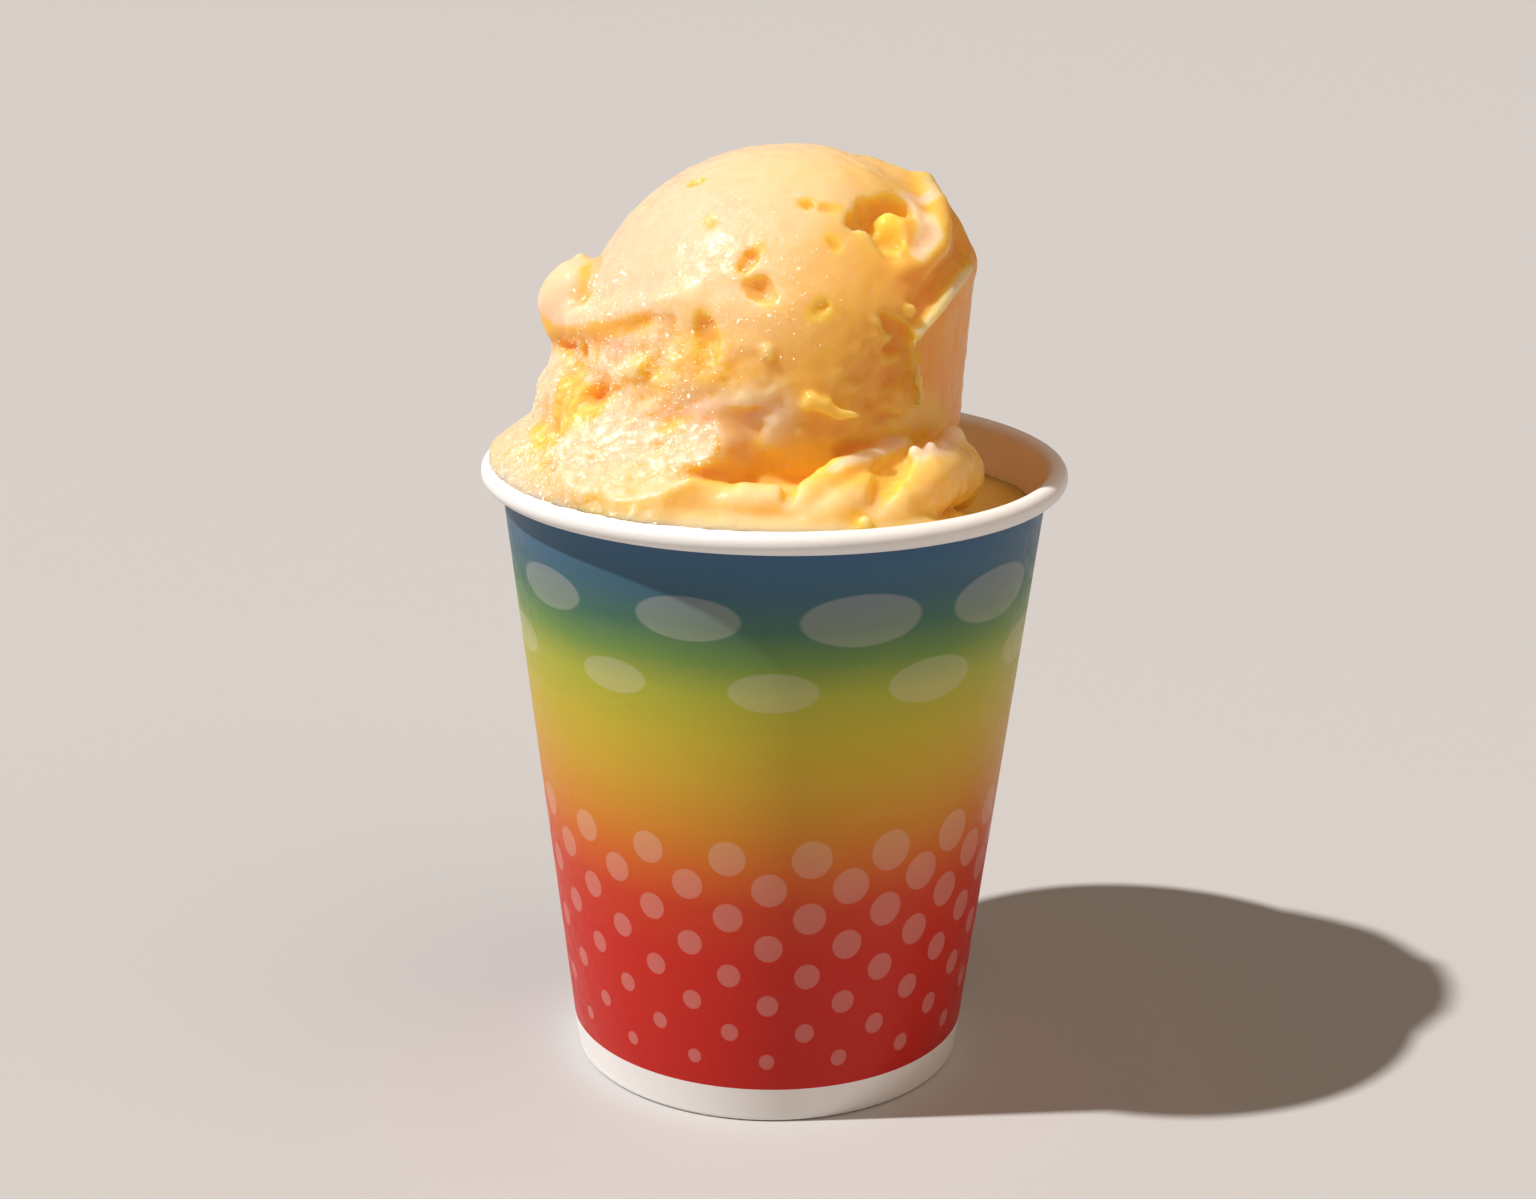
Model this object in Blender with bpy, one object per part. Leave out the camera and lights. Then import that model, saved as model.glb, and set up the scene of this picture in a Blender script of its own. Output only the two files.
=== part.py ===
"""Scoop of sorbet pressed onto a packed fill of the same sorbet in a rolled-rim paper cup.

Run with Blender 4.5.  The origin is the middle of the cup's foot on the table, +Z is up, and the
side that faces the viewer is -Y.  Sizes are in millimetres and become metres when a mesh is made.

The cup is turned from its section.  Each body of sorbet is a distance field, negative inside,
put together from balls, rolls and carved hollows, and a mesh is then drawn onto it.
"""

import itertools
import math

import bmesh
import bpy
import numpy as np

MM = 0.001

# Paper cup
CUP_HEIGHT = 95.5
RIM_RADIUS = 44.0
FOOT_RADIUS = 30.2
PAPER = 0.5
FIT_GAP = 0.3
CURL_RADIUS = 1.65
CURL_END_DEG = -116.0
CURL_STEPS = 11
FOOT_BEND = 0.7
FOOT_STEPS = 3
HEM_HEIGHT = 6.4
BASE_TOP = 7.6
BASE_BEND = 0.9
CUP_SEGMENTS = 64

# Scoop
SCOOP_CENTRE = (1.5, 1.0, 110.8)
SCOOP_RADIUS = 31.0
SCOOP_SUBDIVISIONS = 5
COLUMN_CENTRE = (-0.8, 1.0)
COLUMN_RADIUS = 28.4
COLUMN_BLEND = 5.0
FLANK_CENTRE = (-6.0, 1.0)
FLANK_RADIUS = 35.0
FLANK_TOP = 122.0
FLANK_TAPER = 0.07
FLANK_BLEND = 1.0
SCOOP_REACH = 48.0
SCOOP_CORE = 12.0

# Seat between the scoop and the fill: a bowl whose edge rises from the right to the left
SEAT_FLOOR = 82.0
SEAT_RADIUS = 29.0
SEAT_POWER = 3.0
SEAT_GAP = 0.5

# Fill
FILL_RINGS = 19
FILL_SEGMENTS = 72
FILL_REACH = 112.0
FILL_FLOOR = 80.0
FILL_SLOPE_WIDTH = 10.0

# Azimuths run anticlockwise seen from above: 0 is the right, -90 the front, 180 the left
FILL_EDGE = {
    -180: 96.4, -150: 96.2, -130: 96.0, -95: 95.6, -60: 95.0, -42: 91.5,
    -20: 88.3, 20: 87.5, 60: 88.0, 95: 90.5, 130: 94.8,
}
FILL_RISE = {
    -180: 9.4, -150: 8.9, -130: 8.5, -95: 3.4, -60: 2.5, -42: 2.0,
    -20: 0.6, 20: 0.4, 60: 0.8, 95: 3.0, 130: 6.7,
}
SEAT_EDGE = {
    -180: 105.5, -150: 105.0, -130: 104.0, -95: 99.2, -60: 98.2, -42: 94.6,
    -20: 89.6, 20: 88.6, 60: 89.4, 95: 94.0, 130: 101.5,
}

# Edge of the flap at the front of the flat flank: its lon at a few heights
FLAP_HEIGHTS = (98.0, 103.5, 109.0, 114.0, 117.5, 119.4, 121.4, 123.4, 125.4)
FLAP_LONS = (46.0, 43.0, 39.4, 36.5, 35.7, 39.1, 45.3, 54.4, 73.6)

NOISE_TABLE = 32


def lattice_noise(points, wavelength, seed):
    """Smooth random values between -1 and 1 that change over the given wavelength."""
    table = np.random.default_rng(seed).uniform(-1.0, 1.0, (NOISE_TABLE,) * 3)
    cells = points / wavelength
    low = np.floor(cells).astype(int)
    part = cells - low
    part = part * part * (3.0 - 2.0 * part)
    total = np.zeros(len(points))
    for corner in itertools.product((0, 1), repeat=3):
        index = (low + corner) % NOISE_TABLE
        weight = np.prod(np.where(np.array(corner) == 1, part, 1.0 - part), axis=1)
        total += weight * table[index[:, 0], index[:, 1], index[:, 2]]
    return total


def smooth_union(a, b, blend):
    """Two bodies joined with a fillet of about the given size."""
    share = np.clip(0.5 + 0.5 * (b - a) / blend, 0.0, 1.0)
    return b + (a - b) * share - blend * share * (1.0 - share)


def smooth_cut(a, b, blend):
    """The first body without the second, its new edges rounded by about the given size."""
    return -smooth_union(-a, b, blend)


def ball(points, centre, radius):
    """Distance to a ball."""
    return np.linalg.norm(points - np.array(centre), axis=1) - radius


def lump(points, centre, radii, turn_deg=0.0):
    """Distance to an ellipsoid, turned about the vertical by turn_deg."""
    offset = points - np.array(centre)
    c, s = math.cos(math.radians(turn_deg)), math.sin(math.radians(turn_deg))
    across = offset[:, 0] * c + offset[:, 1] * s
    along = offset[:, 1] * c - offset[:, 0] * s
    local = np.stack((across, along, offset[:, 2]), axis=1)
    scaled = np.linalg.norm(local / np.array(radii), axis=1)
    return (scaled - 1.0) * min(radii)


def roll(points, path, radii):
    """Distance to a chain of tapered rods through the points of a path."""
    nearest = np.full(len(points), np.inf)
    stations = [np.array(p, float) for p in path]
    for start, end, r_start, r_end in zip(stations, stations[1:], radii, radii[1:]):
        along = end - start
        share = np.clip((points - start) @ along / (along @ along), 0.0, 1.0)
        gap = np.linalg.norm(points - start - share[:, None] * along, axis=1)
        nearest = np.minimum(nearest, gap - (r_start + (r_end - r_start) * share))
    return nearest


def on_scoop(lon_deg, lat_deg, height=0.0):
    """Point above the scoop's ball: lon from the front to the right, lat upwards."""
    lon, lat = math.radians(lon_deg), math.radians(lat_deg)
    reach = SCOOP_RADIUS + height
    return (
        SCOOP_CENTRE[0] + reach * math.cos(lat) * math.sin(lon),
        SCOOP_CENTRE[1] - reach * math.cos(lat) * math.cos(lon),
        SCOOP_CENTRE[2] + reach * math.sin(lat),
    )


def stroke(points, *stations):
    """Distance to a roll on the ball, from the lon, lat, height and radius of each station."""
    return roll(points, [on_scoop(*s[:3]) for s in stations], [s[3] for s in stations])


def around(values, azimuth_deg):
    """Value of a quantity given at a few azimuths, read all the way round."""
    angles = sorted(values)
    wrapped = [angles[-1] - 360] + angles + [angles[0] + 360]
    amounts = [values[angles[-1]]] + [values[a] for a in angles] + [values[angles[0]]]
    place = (azimuth_deg + 180.0) % 360.0 - 180.0
    step = np.interp(place, wrapped, np.arange(len(wrapped), dtype=float))
    low = np.clip(np.floor(step).astype(int), 0, len(wrapped) - 2)
    share = step - low
    share = share * share * (3.0 - 2.0 * share)
    amounts = np.array(amounts)
    return amounts[low] * (1.0 - share) + amounts[low + 1] * share


def wall_inner_radius(height):
    """Radius of the cup's inner face at a height."""
    lean = (RIM_RADIUS - 2.0 * CURL_RADIUS - FOOT_RADIUS + PAPER) / (CUP_HEIGHT - CURL_RADIUS)
    return FOOT_RADIUS - PAPER + lean * np.minimum(height, CUP_HEIGHT - CURL_RADIUS)


def seat_height(x, y):
    """Height of the bowl on which the scoop sits."""
    dx, dy = x - SCOOP_CENTRE[0], y - SCOOP_CENTRE[1]
    reach = np.hypot(dx, dy) / SEAT_RADIUS
    edge = around(SEAT_EDGE, np.degrees(np.arctan2(dy, dx)))
    return SEAT_FLOOR + (edge - SEAT_FLOOR) * reach**SEAT_POWER


def scoop_field(points):
    """The scoop: a ball on a short column, pressed flat at its right, with its lip, ear and pits."""
    x, y, z = points.T
    body = ball(points, SCOOP_CENTRE, SCOOP_RADIUS)
    column = np.hypot(x - COLUMN_CENTRE[0], y - COLUMN_CENTRE[1]) - COLUMN_RADIUS
    column = np.maximum(column, z - SCOOP_CENTRE[2])
    body = smooth_union(body, column, COLUMN_BLEND)
    flank_radius = FLANK_RADIUS - FLANK_TAPER * (FLANK_TOP - z)
    flank = np.hypot(x - FLANK_CENTRE[0], y - FLANK_CENTRE[1]) - flank_radius
    body = -smooth_union(-body, -flank, FLANK_BLEND)
    for shape in (add_shoulder, add_lip, carve_dish, add_ear, carve_crater, carve_pits, add_flakes):
        body = shape(body, points)
    body = body + 0.30 * lattice_noise(points, 6.5, 11) + 0.15 * lattice_noise(points, 3.4, 12)
    return np.maximum(body, (seat_height(x, y) + SEAT_GAP / 2 - z) * 0.7)


def add_shoulder(body, points):
    """The thick shoulder under the lip at the left and the hollow torn into it."""
    path = [
        (-24.0, 14.0, 104.0), (-28.0, 7.0, 105.0), (-29.4, -1.0, 105.6),
        (-27.9, -8.0, 105.4), (-23.9, -15.0, 104.6), (-18.0, -21.0, 103.0),
    ]
    body = smooth_union(body, roll(points, path, (4.0, 5.0, 5.8, 5.6, 5.0, 3.4)), 2.5)
    body = smooth_cut(body, lump(points, (-27.2, -19.2, 106.6), (5.4, 4.6, 4.9), 35.0), 0.8)
    spur = [(-30.6, -14.2, 110.2), (-31.6, -14.6, 107.0), (-32.4, -13.0, 104.6)]
    return smooth_union(body, roll(points, spur, (1.0, 1.3, 0.8)), 0.8)


def add_lip(body, points):
    """The lip that runs from the left round to the front, its lobe and the crease under it."""
    body = smooth_union(body, lump(points, (-28.8, 0.2, 118.0), (6.5, 6.2, 6.9)), 1.2)
    lip = stroke(
        points, (-100, 7, 0.8, 2.4), (-87, 8.4, 1.2, 2.6), (-74, 10.6, 0.6, 2.6), (-62, 14.0, -0.6, 2.6),
        (-47, 19.0, -1.4, 2.5), (-38, 22.0, -1.7, 2.4), (-31, 24.0, -2.0, 2.2),
    )
    body = smooth_union(body, lip, 2.2)
    crease = stroke(
        points, (-100, 0.5, 4.8, 1.5), (-84, 2.5, 3.9, 1.8), (-70, 6.0, 2.2, 2.0),
        (-58, 9.6, 1.2, 1.9), (-48, 13.4, 0.8, 1.6), (-41, 16.0, 0.7, 1.4),
        (-33, 18.5, 0.4, 0.7),
    )
    body = smooth_cut(body, crease, 0.7)
    ridge = stroke(
        points, (-91, 24.0, 2.6, 0.9), (-88, 18.5, 2.9, 1.1), (-86, 13.0, 2.9, 1.1), (-80, 10.5, 1.9, 0.9),
    )
    return smooth_union(body, ridge, 0.8)


def carve_dish(body, points):
    """The dished front and the flap of the smooth flank that ends it at the right."""
    x, y, z = points.T
    trough = stroke(
        points, (88, 34, 1.6, 2.2), (70, 33, 1.6, 2.4), (54, 29.5, 1.5, 2.4),
        (44, 25, 1.4, 2.2), (36, 20, 1.2, 1.8),
    )
    body = smooth_cut(body, trough, 1.0)
    lon = np.degrees(np.arctan2(x - SCOOP_CENTRE[0], SCOOP_CENTRE[1] - y))
    past_flap = np.radians(lon - np.interp(z, FLAP_HEIGHTS, FLAP_LONS)) * SCOOP_RADIUS
    dish = lump(points, on_scoop(30, 2, 6.3), (12.5, 9.3, 14.5), 30.0) + 0.5 * lattice_noise(points, 4.0, 23)
    body = smooth_cut(body, smooth_cut(dish, -past_flap, 2.0), 1.5)
    crest = stroke(
        points, (90, 31.0, -0.9, 1.1), (73.6, 28.2, -0.4, 1.2), (54.4, 24.2, -0.3, 1.3),
        (45.3, 20.0, -0.3, 1.3), (39.5, 16.0, -0.4, 1.3), (37.5, 12.5, -0.6, 1.2),
        (38.5, 6.0, -1.3, 1.1), (41.4, -3.4, -2.0, 1.1),
    )
    return smooth_union(body, crest, 1.4)


def add_ear(body, points):
    """The ear at the upper right, its corner and the ridge that runs down from it."""
    shell = stroke(
        points, (104, 64, -3.4, 4.0), (99, 57, -2.6, 4.0), (95, 47, -1.9, 4.0), (93, 38, -2.4, 3.8),
        (92, 30, -3.0, 3.6),
    )
    body = smooth_union(body, shell, 2.0)
    ear = stroke(
        points, (112, 51, -1.3, 1.8), (97, 51.5, 0.6, 2.1), (84, 47, 0.2, 2.1), (68, 41.5, -0.2, 1.9),
        (56, 36.0, -0.5, 1.7), (46, 32.6, -0.8, 1.4), (38, 32.5, -1.0, 1.1),
    )
    body = smooth_union(body, ear, 1.4)
    corner = stroke(points, (99, 55.0, 0.2, 1.3), (97, 51.5, 1.7, 1.3), (93, 49.0, 0.6, 1.3))
    return smooth_union(body, corner, 0.8)


def carve_crater(body, points):
    """The torn crater beside the ear, with a lump of sorbet left in it."""
    deep = stroke(
        points, (22.5, 48.2, 0.0, 0.8), (29, 48.6, -0.8, 2.2), (40, 49.8, -1.4, 3.3), (53, 51.0, -1.4, 3.2),
        (60, 49.6, -0.6, 2.0), (62, 47.0, 0.0, 1.1),
    )
    body = smooth_cut(body, deep + 0.5 * lattice_noise(points, 3.0, 21), 0.7)
    tail = stroke(points, (40, 46, -0.8, 3.1), (38, 41.5, -0.5, 2.5), (36, 37.5, 0.2, 1.3))
    body = smooth_cut(body, tail, 0.7)
    body = smooth_cut(body, stroke(points, (55, 45, 1.3, 2.5), (47, 41.5, 1.0, 2.5)), 0.7)
    left_over = stroke(points, (45.5, 46.8, -2.1, 2.0), (48, 44.5, -2.0, 2.1), (56, 43.5, -2.2, 2.0))
    return smooth_union(body, left_over, 0.8)


def carve_pits(body, points):
    """Pits where air was trapped, each a short roll cut out of the ball."""
    pits = (
        ((-10.0, 39.4, 0.3, 0.8), (-12.0, 37.2, -0.6, 1.3), (-13.8, 34.4, -0.1, 1.2)),
        ((-11.4, 29.6, 0.1, 1.2), (-8.0, 28.6, -0.8, 1.9), (-5.6, 26.6, -0.1, 1.3)),
        ((-24.6, 19.6, 0.1, 1.0), (-22.6, 17.5, -0.6, 1.6), (-20.4, 14.0, -0.6, 1.5), (-18.2, 11.0, 0, 1.1)),
        ((130.0, 44.0, 0.1, 1.0), (136.0, 40.0, -0.5, 1.7), (140.0, 35.0, 0.1, 1.2)),
        ((-150.0, 38.0, 0.0, 1.0), (-155.0, 34.0, -0.6, 1.6), (-162.0, 33.0, 0.1, 1.1)),
    )
    for stations in pits:
        body = smooth_cut(body, stroke(points, *stations), 0.4)
    return body


def add_flakes(body, points):
    """The flake and the shelf that stand out of the lower front, with the valley under them."""
    valley = [(-6.0, -32.5, 101.0), (2.0, -32.6, 101.8), (8.5, -31.0, 103.2), (16.0, -26.8, 105.0)]
    body = smooth_cut(body, roll(points, valley, (1.4, 2.2, 2.4, 1.6)), 1.4)
    flake = stroke(
        points, (4.0, -1.4, -0.4, 1.0), (6.6, 0.0, 0.3, 1.4), (10.0, -1.0, 0.6, 1.2), (13.4, -3.0, 0.9, 1.0),
        (17.9, -3.9, 1.0, 0.8),
    )
    body = smooth_union(body, flake, 0.7)
    shelf = stroke(
        points, (-1.0, 4.4, -0.6, 1.0), (-5.5, 1.8, -0.2, 1.4), (-10.6, -0.4, 0.0, 1.5),
        (-16.0, -2.0, -0.3, 1.2),
    )
    body = smooth_union(body, shelf, 0.9)
    return smooth_union(body, ball(points, on_scoop(-5, 12.3, -0.2), 1.3), 0.8)


def fill_field(points):
    """The fill: level with the rim at the left and front, low at the right, folded up in front."""
    x, y, z = points.T
    azimuth = np.degrees(np.arctan2(y, x))
    inset = np.clip((wall_inner_radius(CUP_HEIGHT) - np.hypot(x, y)) / FILL_SLOPE_WIDTH, 0.0, 1.0)
    rise = around(FILL_RISE, azimuth) * inset * (2.0 - inset)
    body = (z - around(FILL_EDGE, azimuth) - rise) * 0.8
    front_roll = [
        (-27.0, -27.0, 94.4), (-17.4, -32.4, 94.9), (-10.4, -34.0, 96.2),
        (-4.2, -35.0, 96.9), (-0.4, -35.2, 96.8), (1.4, -35.8, 96.4),
    ]
    body = smooth_union(body, roll(points, front_roll, (1.8, 2.2, 2.5, 2.8, 2.7, 2.2)), 1.0)
    lobe = [
        (11.0, -34.6, 93.5), (16.0, -31.0, 95.2), (20.6, -26.0, 96.8),
        (23.6, -20.0, 97.8), (25.6, -14.0, 96.8), (26.2, -8.0, 93.5),
    ]
    body = smooth_union(body, roll(points, lobe, (3.4, 4.2, 4.5, 4.6, 4.9, 4.0)), 1.0)
    apron = [(4.6, -36.2, 94.6), (9.0, -34.4, 96.4), (12.6, -31.4, 98.0)]
    body = smooth_union(body, roll(points, apron, (2.8, 3.2, 3.0)), 1.2)
    ridge = [
        (3.2, -35.6, 97.0), (5.2, -33.6, 98.4), (7.3, -31.8, 99.8), (9.3, -30.2, 100.7), (12.5, -28.2, 101.5),
        (15.9, -25.6, 101.8), (18.2, -23.0, 102.8),
    ]
    body = smooth_union(body, roll(points, ridge, (2.0, 2.2, 2.3, 2.3, 2.2, 2.0, 1.5)), 0.9)
    cleft = [(19.0, -25.4, 104.2), (17.2, -29.0, 102.2), (15.2, -33.0, 100.2), (13.8, -36.4, 98.0)]
    body = smooth_cut(body, roll(points, cleft, (0.8, 1.5, 1.5, 0.8)), 0.8)
    knob = [(26.4, -12.0, 96.5), (26.2, -12.6, 99.6), (25.6, -13.0, 101.6)]
    body = smooth_union(body, roll(points, knob, (3.4, 2.7, 2.1)), 0.9)
    return body + 0.30 * lattice_noise(points, 5.0, 31) + 0.20 * lattice_noise(points, 2.6, 32)


def outermost(field, starts, directions, near, far):
    """Distance along each ray at which it last leaves the body, looked for from far to near."""
    steps = np.linspace(far, near, 121)
    found = np.full(len(starts), near)
    outside = np.full(len(starts), far)
    searching = np.ones(len(starts), bool)
    for reach in steps:
        inside = field(starts + reach * directions) < 0.0
        hit = searching & inside
        found[hit] = reach
        searching &= ~inside
        outside[searching] = reach
    for _ in range(12):
        middle = 0.5 * (found + outside)
        inside = field(starts + middle[:, None] * directions) < 0.0
        found = np.where(inside, middle, found)
        outside = np.where(inside, outside, middle)
    return 0.5 * (found + outside)


def make_material(name, colour, roughness, subsurface=0.0):
    """Principled material of one plain finish."""
    material = bpy.data.materials.new(name)
    material.use_nodes = True
    shader = material.node_tree.nodes["Principled BSDF"]
    shader.inputs["Base Color"].default_value = (*colour, 1.0)
    shader.inputs["Roughness"].default_value = roughness
    shader.inputs["Metallic"].default_value = 0.0
    shader.inputs["Subsurface Weight"].default_value = subsurface
    return material


def add_object(name, mesh, material, crease_deg):
    """Scene object for a mesh, shaded smooth apart from its sharp edges."""
    mesh.materials.append(material)
    mesh.shade_smooth()
    mesh.set_sharp_from_angle(angle=math.radians(crease_deg))
    made = bpy.data.objects.new(name, mesh)
    bpy.context.scene.collection.objects.link(made)
    return made


def turned_mesh(name, section, closed):
    """Mesh of a section in (radius, height) millimetres turned about the vertical axis."""
    shape = bmesh.new()
    corners = [shape.verts.new((r * MM, 0.0, z * MM)) for r, z in section]
    edges = [shape.edges.new(pair) for pair in zip(corners, corners[1:])]
    if closed:
        edges.append(shape.edges.new((corners[-1], corners[0])))
    bmesh.ops.spin(
        shape, geom=corners + edges, cent=(0.0, 0.0, 0.0), axis=(0.0, 0.0, 1.0),
        angle=2.0 * math.pi, steps=CUP_SEGMENTS, use_merge=True,
    )
    bmesh.ops.remove_doubles(shape, verts=shape.verts, dist=1e-6)
    bmesh.ops.dissolve_degenerate(shape, edges=shape.edges, dist=1e-6)
    bmesh.ops.recalc_face_normals(shape, faces=shape.faces)
    bmesh.ops.triangulate(shape, faces=shape.faces)
    mesh = bpy.data.meshes.new(name)
    shape.to_mesh(mesh)
    shape.free()
    return mesh


def arc(centre, radius, start_deg, end_deg, steps):
    """Points of an arc in the section, both ends included."""
    angles = np.radians(np.linspace(start_deg, end_deg, steps + 1))
    return [(centre[0] + radius * math.cos(a), centre[1] + radius * math.sin(a)) for a in angles]


def cup_wall_section():
    """Closed section of the wall: curl, outer face, folded foot, hem and inner face."""
    rise = CUP_HEIGHT - CURL_RADIUS
    lean_deg = math.degrees(math.atan2(wall_inner_radius(CUP_HEIGHT) - wall_inner_radius(0.0), rise))
    curl = (RIM_RADIUS - CURL_RADIUS, CUP_HEIGHT - CURL_RADIUS)
    outside = arc(curl, CURL_RADIUS, 180.0 - lean_deg, CURL_END_DEG, CURL_STEPS)
    inside = arc(curl, CURL_RADIUS - PAPER, CURL_END_DEG, 180.0 - lean_deg, CURL_STEPS - 3)
    channel = PAPER + 2.0 * FIT_GAP
    hem_outer = wall_inner_radius(PAPER) - channel
    hem_inner = hem_outer - PAPER
    hem_lean = wall_inner_radius(HEM_HEIGHT) - wall_inner_radius(PAPER)
    foot_outer = arc((FOOT_RADIUS - FOOT_BEND, FOOT_BEND), FOOT_BEND, 0.0, -90.0, FOOT_STEPS)
    foot_inner = arc((hem_inner + FOOT_BEND / 2, FOOT_BEND / 2), FOOT_BEND / 2, -90.0, -180.0, 2)
    hem = [
        (hem_inner + hem_lean, HEM_HEIGHT),
        (hem_outer + hem_lean, HEM_HEIGHT),
        (hem_outer, PAPER),
        (wall_inner_radius(PAPER), PAPER),
    ]
    return outside + inside + foot_outer + foot_inner + hem


def cup_base_section():
    """Open section of the base: a disc with its edge turned down between wall and hem."""
    top_outer = wall_inner_radius(BASE_TOP) - FIT_GAP
    low = PAPER + FIT_GAP
    low_outer = wall_inner_radius(low) - FIT_GAP
    bend = arc((top_outer - BASE_BEND, BASE_TOP - BASE_BEND), BASE_BEND, 90.0, 0.0, 3)
    inner_bend = BASE_BEND - PAPER
    turned_in = arc((top_outer - BASE_BEND, BASE_TOP - BASE_BEND), inner_bend, 0.0, 90.0, 2)
    side = [(low_outer, low), (low_outer - PAPER, low)]
    return [(0.0, BASE_TOP)] + bend + side + turned_in + [(0.0, BASE_TOP - PAPER)]


def scoop_mesh():
    """Icosphere drawn onto the scoop's field."""
    shape = bmesh.new()
    bmesh.ops.create_icosphere(shape, subdivisions=SCOOP_SUBDIVISIONS, radius=1.0)
    directions = np.array([v.co[:] for v in shape.verts])
    directions /= np.linalg.norm(directions, axis=1)[:, None]
    starts = np.tile(np.array(SCOOP_CENTRE), (len(directions), 1))
    reach = outermost(scoop_field, starts, directions, SCOOP_CORE, SCOOP_REACH)
    for vertex, place in zip(shape.verts, starts + reach[:, None] * directions):
        vertex.co = place * MM
    bmesh.ops.recalc_face_normals(shape, faces=shape.faces)
    mesh = bpy.data.meshes.new("sorbet_scoop")
    shape.to_mesh(mesh)
    shape.free()
    return mesh


def fill_top(x, y):
    """Height of the fill's upper face above a point of the cup's floor."""
    starts = np.stack((x, y, np.zeros(len(x))), axis=1)
    upwards = np.tile(np.array((0.0, 0.0, 1.0)), (len(x), 1))
    top = outermost(fill_field, starts, upwards, FILL_FLOOR, FILL_REACH)
    return np.minimum(top, seat_height(x, y) - SEAT_GAP / 2)


def fill_mesh():
    """Rings of points over the fill's upper face, then its side and its floor."""
    angles = np.linspace(0.0, 2.0 * math.pi, FILL_SEGMENTS, endpoint=False)
    floor_height = BASE_TOP + FIT_GAP
    rings = []
    for ring in range(1, FILL_RINGS + 1):
        share = (ring / FILL_RINGS) ** 0.8
        height = np.full(FILL_SEGMENTS, CUP_HEIGHT)
        for _ in range(4):
            radius = share * (wall_inner_radius(height) - FIT_GAP)
            height = fill_top(radius * np.cos(angles), radius * np.sin(angles))
        rings.append(np.stack((radius * np.cos(angles), radius * np.sin(angles), height), axis=1))
    low_radius = wall_inner_radius(floor_height) - FIT_GAP
    floor = np.full(FILL_SEGMENTS, floor_height)
    rings.append(np.stack((low_radius * np.cos(angles), low_radius * np.sin(angles), floor), axis=1))
    centre_top = (0.0, 0.0, float(fill_top(np.zeros(1), np.zeros(1))[0]))
    points = np.concatenate([np.array([centre_top])] + rings + [np.array([(0.0, 0.0, floor_height)])])
    faces = []
    last = len(points) - 1
    for index in range(FILL_SEGMENTS):
        after = (index + 1) % FILL_SEGMENTS
        faces.append((0, 1 + index, 1 + after))
        for ring in range(len(rings) - 1):
            inner, outer = 1 + ring * FILL_SEGMENTS, 1 + (ring + 1) * FILL_SEGMENTS
            faces.append((inner + index, outer + index, outer + after))
            faces.append((inner + index, outer + after, inner + after))
        rim = 1 + (len(rings) - 1) * FILL_SEGMENTS
        faces.append((last, rim + after, rim + index))
    mesh = bpy.data.meshes.new("sorbet_fill")
    mesh.from_pydata((points * MM).tolist(), [], faces)
    return mesh


def main():
    """Clear the scene and build the cup and its sorbet."""
    for old in list(bpy.data.objects):
        bpy.data.objects.remove(old)
    paper = make_material("printed_paper", (0.45, 0.06, 0.03), 0.45)
    plain_paper = make_material("plain_paper", (0.86, 0.85, 0.83), 0.55)
    sorbet = make_material("sorbet", (0.95, 0.58, 0.20), 0.45, 0.3)
    add_object("cup_wall", turned_mesh("cup_wall", cup_wall_section(), True), paper, 40.0)
    add_object("cup_base", turned_mesh("cup_base", cup_base_section(), False), plain_paper, 40.0)
    add_object("sorbet_fill", fill_mesh(), sorbet, 60.0)
    add_object("sorbet_scoop", scoop_mesh(), sorbet, 60.0)


main()
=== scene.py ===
"""Looks of a sorbet cup: sculpted sorbet, its ice grains and the printed paper cup around the frame.

The sorbet is a distance field in millimetres, negative inside, put together from balls, rolls and
carved hollows, and its surface is read from a fine grid.  Azimuths run anticlockwise seen from
above: 0 is the right, -90 the front and 180 the left.  The last value of each call of lattice_noise
is the seed of its draw.  Every finished mesh is in metres.
"""

from __future__ import annotations

import itertools
import logging
import math
from dataclasses import dataclass, field
from enum import Enum
from typing import Callable, Mapping, Sequence

import bmesh
import bpy
import numpy as np
from mathutils import Matrix, Vector


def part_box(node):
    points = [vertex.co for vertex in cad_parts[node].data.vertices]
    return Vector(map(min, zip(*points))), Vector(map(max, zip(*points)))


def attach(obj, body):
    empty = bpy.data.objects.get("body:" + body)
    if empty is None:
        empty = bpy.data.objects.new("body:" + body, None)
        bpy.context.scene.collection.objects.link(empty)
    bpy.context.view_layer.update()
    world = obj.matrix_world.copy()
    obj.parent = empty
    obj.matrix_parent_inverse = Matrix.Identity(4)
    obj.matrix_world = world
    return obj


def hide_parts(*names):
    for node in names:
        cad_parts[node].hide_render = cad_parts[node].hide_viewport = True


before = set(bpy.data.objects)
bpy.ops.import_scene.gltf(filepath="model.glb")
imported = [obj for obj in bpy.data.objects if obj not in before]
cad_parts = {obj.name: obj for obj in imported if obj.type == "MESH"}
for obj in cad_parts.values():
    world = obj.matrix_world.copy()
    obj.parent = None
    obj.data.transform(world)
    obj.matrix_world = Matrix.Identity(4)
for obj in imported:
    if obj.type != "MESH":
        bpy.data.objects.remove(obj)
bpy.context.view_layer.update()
LOG = logging.getLogger("sorbet_cup")

MM = 0.001
NOISE_TABLE = 32
TINY = 1e-6

Colour = tuple[float, float, float]
Point = tuple[float, float, float]
Station = tuple[float, float, float, float]
Body = np.ndarray


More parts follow.
